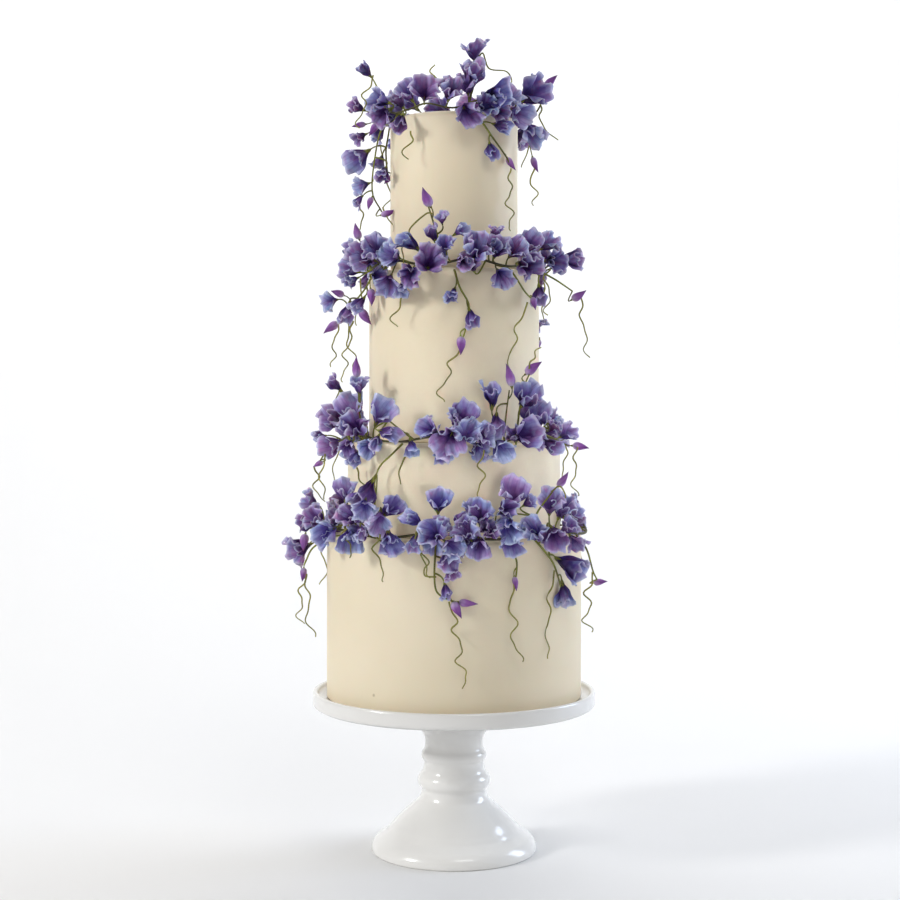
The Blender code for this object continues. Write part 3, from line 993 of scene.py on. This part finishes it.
def lathe_part(profile, sides, lobes, depth, twist):
    """A closed turned form with lobes, for buds and calyxes. The profile is (radius, height) pairs."""
    rings = []
    for place, (radius, height) in enumerate(profile):
        share = place / (len(profile) - 1)
        for side in range(sides):
            turn = math.tau * side / sides + twist * share
            reach = radius * (1 + depth * share * math.cos(lobes * turn))
            rings.append((reach * math.cos(turn), reach * math.sin(turn), height))
    vertices = np.array([(0.0, 0.0, profile[0][1])] + rings + [(0.0, 0.0, profile[-1][1])])
    last = len(vertices) - 1
    faces = []
    for side in range(sides):
        after = (side + 1) % sides
        faces.append((0, 1 + after, 1 + side))
        for ring in range(len(profile) - 1):
            low = 1 + ring * sides
            faces.append((low + side, low + after, low + sides + after, low + sides + side))
        top = 1 + (len(profile) - 1) * sides
        faces.append((last, top + side, top + after))
    shares = np.repeat(np.linspace(0, 1, len(profile)), sides)
    turns = np.tile(np.arange(sides) / sides, len(profile))
    values = {
        "petal_v": np.concatenate([[0.0], shares, [1.0]]),
        "petal_u": np.concatenate([[0.0], turns, [0.0]]),
        "petal_side": np.zeros(len(vertices)),
    }
    return vertices, faces, values


def bud_part(plump):
    """A furled bud of length 1: fullest near its base, with three folds that twist up to a hooked point."""
    profile = []
    for step in range(12):
        t = step / 11
        swell = math.sin(math.pi * (0.03 + 0.955 * t ** 0.60))
        profile.append((plump * swell ** 1.1, t))
    vertices, faces, values = lathe_part(profile, 12, 3, 0.16, 1.6)
    vertices[:, 0] += 0.12 * vertices[:, 2] ** 3
    return vertices, faces, values


def calyx_part(reach):
    """The green cup under a flower: a short neck that opens into five pointed sepals."""
    profile = ((0.022, -0.14), (0.030, -0.10), (0.062, -0.02), (0.082, 0.07), (0.088, 0.15))
    vertices, faces, values = lathe_part([(r * reach, z * reach) for r, z in profile], 10, 5, 0.10, 0.0)
    tips = vertices[-11:-1]
    tips[::2, 2] += 0.09 * reach
    tips[1::2, 2] -= 0.04 * reach
    vertices[-1, 2] = 0.04 * reach
    return vertices, faces, values


def variant_collection(name, parts):
    """A collection of ready-made pieces for Geometry Nodes to pick from, in alphabetical order."""
    collection = bpy.data.collections.new(name)
    bpy.context.scene.collection.children.link(collection)
    for index, (vertices, faces, values) in enumerate(parts):
        obj = mesh_object(f"{name}_{index:02d}", vertices, faces, None, values)
        bpy.context.collection.objects.unlink(obj)
        collection.objects.link(obj)
    return collection


def clear_collection(collection):
    for obj in list(collection.objects):
        bpy.data.objects.remove(obj, do_unlink=True)
    bpy.data.collections.remove(collection)


FORM_NAMES = sorted(BLOOM_FORMS)


def bloom_variants():
    parts = []
    for form in FORM_NAMES:
        for variant in range(VARIANTS_PER_FORM):
            luck = random.Random(f"{form} {variant}")
            parts.append(joined([petal_sheet(shape, luck) for shape in BLOOM_FORMS[form]]))
    return variant_collection("bloom_form", parts)


def new_tree(name, sockets):
    """A Geometry Nodes tree with named inputs, and the places of those inputs on a modifier."""
    tree = bpy.data.node_groups.new(name, "GeometryNodeTree")
    tree.interface.new_socket(name="Geometry", in_out="INPUT", socket_type="NodeSocketGeometry")
    tree.interface.new_socket(name="Geometry", in_out="OUTPUT", socket_type="NodeSocketGeometry")
    keys = {}
    for label, kind in sockets:
        socket = tree.interface.new_socket(name=label, in_out="INPUT", socket_type=kind)
        keys[label] = socket.identifier
    graph = Graph(tree)
    entry = tree.nodes.new("NodeGroupInput")
    given = {socket.name: Signal(graph, socket) for socket in entry.outputs if socket.name}
    return tree, graph, given, keys


def finish_tree(graph, geometry, material):
    """Every tree ends alike: instances become mesh, and the mesh takes its finish."""
    real = graph.add("GeometryNodeRealizeInstances", None, {"Geometry": geometry})
    finished = graph.add("GeometryNodeSetMaterial", None, {"Geometry": real, "Material": material})
    leave = graph.tree.nodes.new("NodeGroupOutput")
    graph.feed(leave.inputs[0], finished)


def scatter_tree():
    """Sets a piece from a collection on every point, turned and sized by what the point stores."""
    sockets = (("Forms", "NodeSocketCollection"), ("Finish", "NodeSocketMaterial"), ("Size", "NodeSocketFloat"))
    tree, graph, given, keys = new_tree("set_on_points", sockets)
    forms = graph.add(
        "GeometryNodeCollectionInfo",
        {"transform_space": "ORIGINAL"},
        {"Collection": given["Forms"], "Separate Children": True, "Reset Children": True},
    )
    form = graph.add("GeometryNodeInputNamedAttribute", {"data_type": "INT"}, {"Name": "form"})
    turn = graph.add("GeometryNodeInputNamedAttribute", {"data_type": "FLOAT_VECTOR"}, {"Name": "turn"})
    length = graph.add("GeometryNodeInputNamedAttribute", {"data_type": "FLOAT"}, {"Name": "length"})
    facing = graph.add("FunctionNodeEulerToRotation", None, {"Euler": turn})
    size = graph.add("ShaderNodeMath", {"operation": "MULTIPLY"}, {0: length, 1: given["Size"]})
    placed = graph.add(
        "GeometryNodeInstanceOnPoints",
        None,
        {
            "Points": given["Geometry"],
            "Instance": forms,
            "Pick Instance": True,
            "Instance Index": form,
            "Rotation": facing,
            "Scale": size,
        },
    )
    finish_tree(graph, placed, given["Finish"])
    return tree, keys


def tube_tree():
    """Sweeps a round section along every line, as thick as each of its points says."""
    sockets = (("Sides", "NodeSocketInt"), ("Thickness", "NodeSocketFloat"), ("Finish", "NodeSocketMaterial"))
    tree, graph, given, keys = new_tree("sweep_along_lines", sockets)
    section = graph.add(
        "GeometryNodeCurvePrimitiveCircle",
        {"mode": "RADIUS"},
        {"Resolution": given["Sides"], "Radius": given["Thickness"]},
    )
    swept = graph.add(
        "GeometryNodeCurveToMesh",
        None,
        {
            "Curve": given["Geometry"],
            "Profile Curve": section,
            "Scale": graph.add("GeometryNodeInputRadius"),
            "Fill Caps": True,
        },
    )
    smooth = graph.add("GeometryNodeSetShadeSmooth", None, {"Geometry": swept, "Shade Smooth": True})
    finish_tree(graph, smooth, given["Finish"])
    return tree, keys


def made_plain(name, source, tree, keys, values, material):
    """Run a tree on an object, keep the result as a plain mesh object, and remove the source."""
    modifier = source.modifiers.new("maker", "NODES")
    modifier.node_group = tree
    for label, value in values.items():
        modifier[keys[label]] = value
    graph = bpy.context.evaluated_depsgraph_get()
    mesh = bpy.data.meshes.new_from_object(source.evaluated_get(graph), depsgraph=graph)
    source.modifiers.remove(modifier)
    bpy.data.objects.remove(source, do_unlink=True)
    mesh.name = name
    if not mesh.materials:
        mesh.materials.append(material)
    obj = bpy.data.objects.new(name, mesh)
    bpy.context.collection.objects.link(obj)
    return obj


def points_object(name, rows):
    """A mesh of bare points that store what the scatter tree reads."""
    mesh = bpy.data.meshes.new(name)
    mesh.from_pydata([tuple(row["base"]) for row in rows], [], [])
    form = mesh.attributes.new("form", "INT", "POINT")
    form.data.foreach_set("value", [row["form"] for row in rows])
    for label in ("length", "tint", "warmth"):
        stored = mesh.attributes.new(label, "FLOAT", "POINT")
        stored.data.foreach_set("value", [row[label] for row in rows])
    turn = mesh.attributes.new("turn", "FLOAT_VECTOR", "POINT")
    turn.data.foreach_set("vector", [value for row in rows for value in row["turn"]])
    obj = bpy.data.objects.new(name, mesh)
    bpy.context.collection.objects.link(obj)
    return obj


def lines_object(name, lines):
    """A curve object of open lines, each a list of (point, thickness) pairs."""
    data = bpy.data.curves.new(name, "CURVE")
    data.dimensions = "3D"
    for line in lines:
        spline = data.splines.new("POLY")
        spline.points.add(len(line) - 1)
        for place, (point, thickness) in zip(spline.points, line):
            place.co = (*point, 1.0)
            place.radius = thickness
    obj = bpy.data.objects.new(name, data)
    bpy.context.collection.objects.link(obj)
    return obj


def kept_outside(obj, number, touch):
    """Ease points that fall inside a tier out to its surface, so that pieces rest on it."""
    mesh = obj.data
    points = np.empty(len(mesh.vertices) * 3, np.float32)
    mesh.vertices.foreach_get("co", points)
    points = points.reshape(-1, 3).astype(float)
    for tier in (number - 1, number, number + 1):
        if not 1 <= tier <= TIER_COUNT:
            continue
        radius, bottom, top = tier_size(tier)
        reach = np.hypot(points[:, 0], points[:, 1])
        deep_in = radius + touch - reach
        deep_down = top + touch - points[:, 2]
        inside = (deep_in > 0) & (deep_down > 0) & (points[:, 2] > bottom)
        sideways = inside & (deep_in <= deep_down)
        upwards = inside & (deep_in > deep_down)
        settled = radius + touch * np.exp(-deep_in[sideways] / 0.008)
        share = settled / np.maximum(reach[sideways], 1e-6)
        points[sideways, 0] *= share
        points[sideways, 1] *= share
        points[upwards, 2] = top + touch * np.exp(-deep_down[upwards] / 0.008)
    mesh.vertices.foreach_set("co", points.astype(np.float32).reshape(-1))
    mesh.update()


def spot(number, across, rise, out):
    """The point for millimetres across, above the rim and out from the wall, on the front of a tier."""
    radius, _, top = tier_size(number)
    reach = radius + out * MM
    side = across * MM
    depth = math.sqrt(max(0.0, reach * reach - side * side))
    return Vector((side, -depth, top + rise * MM))


def stem_line(lean, facing, right, out):
    """The direction that a flower's stem points in, from its lean and how far it faces the viewer."""
    lean = math.radians(lean)
    facing = math.radians(facing)
    flat = math.sin(lean) * right + math.cos(lean) * UP
    return (math.cos(facing) * flat + math.sin(facing) * out).normalized()


def flower_turn(axis, lean, facing, roll, right, out):
    """Euler angles that set a flower's +Z along its stem and its wings on the side it shows."""
    lean = math.radians(lean)
    facing = math.radians(facing)
    flat = math.sin(lean) * right + math.cos(lean) * UP
    wings = (math.cos(facing) * out - math.sin(facing) * flat).normalized()
    wings = Matrix.Rotation(math.radians(roll), 3, axis) @ wings
    side = wings.cross(axis)
    return Matrix((side, wings, axis)).transposed().to_euler()


def placed_bloom(centre, length, lean, facing, roll, form, tint, right, out):
    axis = stem_line(lean, facing, right, out)
    luck = random.Random(f"{centre.x:.4f} {centre.z:.4f}")
    variant = luck.randrange(VARIANTS_PER_FORM)
    return {
        "base": centre - axis * length * 0.48,
        "axis": axis,
        "length": length,
        "tint": min(1.0, max(0.0, tint + luck.uniform(-0.08, 0.08))),
        "warmth": luck.uniform(0.0, 1.0) ** 1.1 * (1.25 - 0.6 * tint),
        "form": FORM_NAMES.index(form) * VARIANTS_PER_FORM + variant,
        "turn": flower_turn(axis, lean, facing, roll + luck.uniform(-32, 32), right, out),
        "stem": 0.0010,
    }


def placed_bud(centre, length, lean, facing, right, out):
    axis = stem_line(lean, facing, right, out)
    luck = random.Random(f"bud {centre.x:.4f} {centre.z:.4f}")
    return {
        "base": centre - axis * length * 0.5,
        "axis": axis,
        "length": length,
        "tint": luck.uniform(0.0, 0.7),
        "warmth": 0.5,
        "form": luck.randrange(2),
        "turn": flower_turn(axis, lean, facing, luck.uniform(0, 360), right, out),
        "stem": 0.0008,
    }


def front_blooms(number):
    rows = []
    for across, rise, out, length, lean, facing, roll, form, tint in FRONT_BLOOMS[number - 1]:
        centre = spot(number, across, rise, out)
        rows.append(placed_bloom(centre, length * MM, lean, facing, roll, form, tint, FRONT_RIGHT, FRONT_OUT))
    return rows


def filler_blooms(number, luck):
    """The smaller flowers between the front ones, close to the vine and turned every way."""
    rows = []
    for left, right, count in FILLED_STRETCHES[number - 1]:
        for index in range(count):
            across = left + (right - left) * (index + luck.uniform(0.2, 0.8)) / count
            rise = luck.choice((-6, 2, 8, 14, 22)) + luck.uniform(-3, 3)
            centre = spot(number, across, rise, luck.uniform(9, 18))
            lean = luck.uniform(-80, 80) if rise > 0 else luck.uniform(100, 260)
            length = luck.uniform(18, 24) * MM
            form = luck.choice(("ruffled", "open", "cup", "open", "hanging"))
            facing = luck.uniform(30, 65)
            tint = luck.uniform(0.0, 0.9)
            rows.append(placed_bloom(centre, length, lean, facing, 0, form, tint, FRONT_RIGHT, FRONT_OUT))
    return rows


def front_buds(number):
    rows = []
    for across, rise, out, length, lean, facing in FRONT_BUDS[number - 1]:
        centre = spot(number, across, rise, out)
        rows.append(placed_bud(centre, length * MM, lean, facing, FRONT_RIGHT, FRONT_OUT))
    return rows


def round_spot(number, angle, rise, out):
    """The point at an angle from the front, with the directions to the right of it and outwards."""
    radius, _, top = tier_size(number)
    turn = math.radians(angle)
    outwards = Vector((math.sin(turn), -math.cos(turn), 0.0))
    sideways = Vector((math.cos(turn), math.sin(turn), 0.0))
    return outwards * (radius + out) + UP * (top + rise), sideways, outwards


def back_blooms(number, luck):
    """Flowers round the back, as dense and as varied as those in front."""
    rows = []
    count = BACK_BLOOMS[number - 1]
    for index in range(count):
        angle = BACK_START + BACK_SPAN * (index + luck.uniform(0.1, 0.9)) / count
        level = (index % 3) - 1
        from_end = min(angle - BACK_START, BACK_START + BACK_SPAN - angle)
        free = min(1.0, max(0.0, (from_end - BACK_SIDE) / BACK_EASE))
        rise = (14 + (6 + 11 * free) * level + luck.uniform(-8, 8) * (0.4 + 0.6 * free)) * MM
        out = ((20 - 4 * level + luck.uniform(-6, 8)) * free - 7 * (1 - free)) * MM
        centre, sideways, outwards = round_spot(number, angle, rise, out)
        lean = luck.uniform(-75, 75) if level >= 0 else 180 + luck.uniform(-80, 80)
        facing = luck.uniform(18, 62)
        length = luck.uniform(24, 35) * (0.76 + 0.24 * free) * MM
        form = luck.choice(("open", "ruffled", "fan", "cup", "trumpet", "hanging", "open", "ruffled"))
        tint = luck.choice((0.1, 0.2, 0.35, 0.5, 0.6, 0.75, 0.9))
        rows.append(placed_bloom(centre, length, lean, facing, 0, form, tint, sideways, outwards))
    return rows


def hanging_spray(number, angle, luck):
    """A spray that trails down the tier: its stem, flowers and a bud at its tip; its tendril is added by the
    caller.
    """
    _, sideways, outwards = round_spot(number, angle, 0, 0)
    fall = luck.uniform(55, 80) if number != 3 else luck.uniform(30, 40)
    drift = luck.uniform(-16, 16)
    stem = []
    for share in (0.0, 0.25, 0.55, 0.8, 1.0):
        swing = drift * share + 5 * math.sin(5 * share + angle)
        point, _, _ = round_spot(number, angle, (4 - fall * share) * MM, (8 - 2 * share) * MM)
        stem.append(point + sideways * swing * MM)
    blooms = []
    for share in (0.35, 0.7):
        point = stem[round(share * 4)] + outwards * 8 * MM + sideways * luck.uniform(-8, 8) * MM
        form = luck.choice(("hanging", "cup", "open", "trumpet"))
        lean = 180 + luck.uniform(-50, 50)
        length = luck.uniform(20, 26) * MM
        blooms.append(placed_bloom(point, length, lean, 22, 0, form, luck.uniform(0.2, 0.9), sideways, outwards))
    bud = placed_bud(stem[-1] - UP * 8 * MM, 15 * MM, 180 + luck.uniform(-40, 40), 10, sideways, outwards)
    return stem, blooms, bud


def tendril_line(start, sideways, outwards, length, drift, curl, luck):
    """A wired tendril that falls in uneven waves, thins out, and curls a little at its end."""
    steps = max(14, int(length / 0.0022))
    waves = length / luck.uniform(0.030, 0.042)
    phase = luck.uniform(0, math.tau)
    swing = luck.uniform(0.0028, 0.0046)
    second = luck.uniform(0, math.tau)
    line = []
    for step in range(steps + 1):
        t = step / steps
        grow = min(1.0, 3.5 * t)
        wave = math.sin(math.tau * waves * t + phase) - math.sin(phase)
        wave += 0.4 * math.sin(math.tau * waves * 1.83 * t + second) - 0.4 * math.sin(second)
        across = swing * grow * wave + drift * t
        across += curl * 0.016 * t ** 6
        depth = 0.0034 * math.sin(math.tau * waves * 0.7 * t + second) * grow
        fall = length * (t - 0.10 * curl * t ** 6)
        point = start + sideways * across - UP * fall + outwards * depth
        line.append((point, 0.00108 - 0.0004 * t))
    return line


def free_tendril(number, places):
    """A tendril that takes a way of its own through listed points."""
    points = [spot(number, *place) for place in places]
    curve = rounded(points, 7)
    last = len(curve) - 1
    return [(Vector(point), 0.00108 - 0.0004 * index / last) for index, point in enumerate(curve)]


def main_vine(number):
    """The dark wired vine that runs all round the rim and carries the flowers."""
    radius, _, top = tier_size(number)
    luck = random.Random(number)
    phases = [luck.uniform(0, math.tau) for _ in range(3)]
    steps = 150
    line = []
    for step in range(steps + 1):
        turn = math.tau * step / steps
        out = 0.0035 + 0.0035 * math.sin(5 * turn + phases[0]) + 0.0015 * math.sin(11 * turn + phases[1])
        rise = 0.0050 + 0.0035 * math.sin(7 * turn + phases[2])
        outwards = Vector((math.sin(turn), -math.cos(turn), 0.0))
        line.append((outwards * (radius + out) + UP * (top + rise), VINE_THICKNESS[number - 1]))
    return line


def front_branches(number):
    """The side stems on the front, each smooth through its points and thinner to its tip."""
    lines = []
    for places in FRONT_BRANCHES[number - 1]:
        curve = rounded([spot(number, *place) for place in places], 6)
        last = len(curve) - 1
        lines.append([(Vector(point), 0.0013 - 0.0004 * index / last) for index, point in enumerate(curve)])
    return lines


def flower_stem(row, anchors):
    """A short stem that leaves a flower straight and bends over to the nearest vine or side stem."""
    length = row["length"]
    start = row["base"] - row["axis"] * 0.10 * length
    pull = start - row["axis"] * 0.45 * length
    goal = min(anchors, key=lambda anchor: (anchor - pull).length)
    middle = start - row["axis"] * min(0.4 * length, 0.5 * (goal - start).length)
    line = []
    steps = 8
    for step in range(steps + 1):
        t = step / steps
        point = start * (1 - t) ** 2 + middle * 2 * t * (1 - t) + goal * t * t
        line.append((point, row["stem"] * (0.85 + 0.3 * t)))
    return line


def ride_root(piece):
    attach(piece, "root")


def build_garland(number, kit):
    """Everything on one tier's rim: blooms, buds, calyxes, stems and tendrils, one piece for each kind."""
    luck = random.Random(BACK_SEEDS[number - 1])
    blooms = front_blooms(number) + filler_blooms(number, luck) + back_blooms(number, luck)
    buds = front_buds(number)
    branches = front_branches(number)
    tendrils = []
    for angle in BACK_SPRAYS[number - 1]:
        stem, more, bud = hanging_spray(number, angle, luck)
        last = len(stem) - 1
        curve = rounded(stem, 6)
        branches.append([(Vector(point), 0.0011) for point in curve])
        blooms += more
        buds.append(bud)
        _, sideways, outwards = round_spot(number, angle, 0, 0)
        tendrils.append(tendril_line(stem[last], sideways, outwards, luck.uniform(0.04, 0.07), 0.004, 0.3, luck))
    for across, rise, out, length, drift, curl in FRONT_TENDRILS[number - 1]:
        start = spot(number, across, rise, out)
        tendrils.append(tendril_line(start, FRONT_RIGHT, FRONT_OUT, length * MM, drift * MM, curl, luck))
    for places in FREE_TENDRILS[number - 1]:
        tendrils.append(free_tendril(number, places))
    for index in range(7):
        angle = BACK_START + BACK_SIDE + (BACK_SPAN - 2 * BACK_SIDE) * (index + luck.uniform(0.2, 0.8)) / 7
        start, sideways, outwards = round_spot(number, angle, luck.uniform(-6, 4) * MM, luck.uniform(14, 20) * MM)
        drift = luck.uniform(-0.012, 0.012)
        tendrils.append(tendril_line(start, sideways, outwards, luck.uniform(0.03, 0.075), drift, 0.3, luck))
    vine = main_vine(number)
    anchors = [point for point, _ in vine] + [point for branch in branches for point, _ in branch[1:]]
    stems = branches + [flower_stem(row, anchors) for row in blooms + buds]

    tree, keys = kit["scatter"]
    petals = made_plain(
        f"garland_{number}_petals",
        points_object("bloom_points", blooms),
        tree,
        keys,
        {"Forms": kit["blooms"], "Finish": kit["petal"], "Size": 1.0},
        kit["petal"],
    )
    kept_outside(petals, number, 0.0014)
    nodes = [f"garland_{number}_spray_{spray:02d}" for spray in range(1, SPRAYS_PER_GARLAND + 1)]
    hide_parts(*nodes)
    ride_root(petals)

    bud_piece = made_plain(
        f"garland_{number}_buds",
        points_object("bud_points", buds),
        tree,
        keys,
        {"Forms": kit["buds"], "Finish": kit["bud"], "Size": 1.0},
        kit["bud"],
    )
    kept_outside(bud_piece, number, 0.0014)
    ride_root(bud_piece)

    cups = [dict(row, form=index % 2) for index, row in enumerate(blooms + buds)]
    calyxes = made_plain(
        f"garland_{number}_calyxes",
        points_object("calyx_points", cups),
        tree,
        keys,
        {"Forms": kit["calyxes"], "Finish": kit["stem"], "Size": 1.0},
        kit["stem"],
    )
    kept_outside(calyxes, number, 0.0014)
    ride_root(calyxes)

    tree, keys = kit["tube"]
    for label, lines, material, sides in (
        ("vine", [vine], kit["vine"], 8),
        ("stems", stems, kit["stem"], 6),
        ("tendrils", tendrils, kit["tendril"], 6),
    ):
        piece = made_plain(
            f"garland_{number}_{label}",
            lines_object(f"{label}_lines", lines),
            tree,
            keys,
            {"Sides": sides, "Thickness": 1.0, "Finish": material},
            material,
        )
        kept_outside(piece, number, 0.0016)
        if label == "vine":
            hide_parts(f"vine_{number}")
        ride_root(piece)


def build_stage(material):
    """A pale floor that curves up into a pale backdrop, well behind the cake."""
    width = 9.0
    front = -6.0
    bend = 2.2
    back = 3.2
    profile = [(front, 0.0), (back - bend, 0.0)]
    for step in range(1, 17):
        turn = math.pi / 2 * step / 16
        profile.append((back - bend + bend * math.sin(turn), bend - bend * math.cos(turn)))
    profile.append((back, 5.0))
    vertices = []
    for depth, height in profile:
        vertices += [(-width, depth, height), (width, depth, height)]
    faces = [(2 * i, 2 * i + 1, 2 * i + 3, 2 * i + 2) for i in range(len(profile) - 1)]
    floor = mesh_object("pale_floor", vertices, faces, material)


def area_light(name, place, target, size, power, tone, spread=180.0):
    data = bpy.data.lights.new(name, "AREA")
    data.shape = "RECTANGLE"
    data.size, data.size_y = size
    data.energy = power
    data.color = tone
    data.spread = math.radians(spread)
    obj = bpy.data.objects.new(name, data)
    obj.location = place
    obj.rotation_euler = (Vector(target) - Vector(place)).to_track_quat("-Z", "Y").to_euler()
    bpy.context.collection.objects.link(obj)


def build_lights():
    """A soft key from the left, gentler fills from in front and from the right, and a white surround."""
    middle = (0.0, 0.0, 0.50)
    area_light("key_left", (-2.62, -1.20, 1.60), middle, (0.55, 0.60), 44.0, (1.0, 0.995, 0.985))
    area_light("high_front", (0.45, -1.30, 1.95), (0.0, 0.0, 0.75), (0.8, 0.6), 6.5, (1.0, 0.995, 0.99))
    area_light("low_front", (0.55, -2.25, 0.30), (0.02, 0.0, 0.48), (0.5, 0.12), 0.095, (1.0, 0.99, 0.98), 9.0)
    area_light("fill_right", (2.5, 0.7, 1.22), (0.0, 0.0, 0.62), (0.9, 1.6), 30.0, (0.82, 0.95, 1.18))
    area_light("backdrop_wash", (0.0, 1.5, 3.6), (0.0, 3.0, 0.6), (5.0, 0.6), 90.0, (1.0, 1.0, 1.0))
    world = bpy.data.worlds.new("studio_surround")
    world.use_nodes = True
    graph = Graph(world.node_tree)
    surround = world.node_tree.nodes["Background"]
    surround.inputs["Color"].default_value = (1.0, 0.99, 0.975, 1.0)
    look = graph.add("ShaderNodeTexCoord", output="Generated")
    height = graph.add("ShaderNodeSeparateXYZ", None, {"Vector": look}, "Z")
    graph.feed(surround.inputs["Strength"], 0.56 - 0.30 * height.ramp_between(0.05, 0.80))
    bpy.context.scene.world = world
    bpy.context.scene.view_settings.view_transform = "Standard"


def build_camera():
    data = bpy.data.cameras.new("front_camera")
    data.lens = LENS_MM
    data.sensor_width = SENSOR_MM
    camera = bpy.data.objects.new("front_camera", data)
    camera.location = (CAMERA_SIDE, -CAMERA_DISTANCE, CAMERA_HEIGHT)
    camera.rotation_euler = (math.radians(90 - CAMERA_TILT), 0.0, 0.0)
    bpy.context.collection.objects.link(camera)
    bpy.context.scene.camera = camera


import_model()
build_camera()
build_lights()
build_stage(backdrop_finish())

fondant = fondant_finish()
for tier_number in range(1, TIER_COUNT + 1):
    build_tier(tier_number, fondant)
build_stand(glaze_finish())

garland_kit = {
    "scatter": scatter_tree(),
    "tube": tube_tree(),
    "blooms": bloom_variants(),
    "buds": variant_collection("bud_form", [bud_part(0.20), bud_part(0.24)]),
    "calyxes": variant_collection("calyx_form", [calyx_part(0.85), calyx_part(0.95)]),
    "petal": petal_finish(),
    "bud": bud_finish(),
    "stem": stem_finish("stem_finish", "#7f8430", "#585422", "#332d16"),
    "vine": stem_finish("vine_finish", "#55512a", "#37331c", "#221d12"),
    "tendril": stem_finish("tendril_finish", "#959040", "#757334", "#4f4b22"),
}
for garland_number in range(1, TIER_COUNT + 1):
    build_garland(garland_number, garland_kit)
for collection_name in ("blooms", "buds", "calyxes"):
    clear_collection(garland_kit[collection_name])
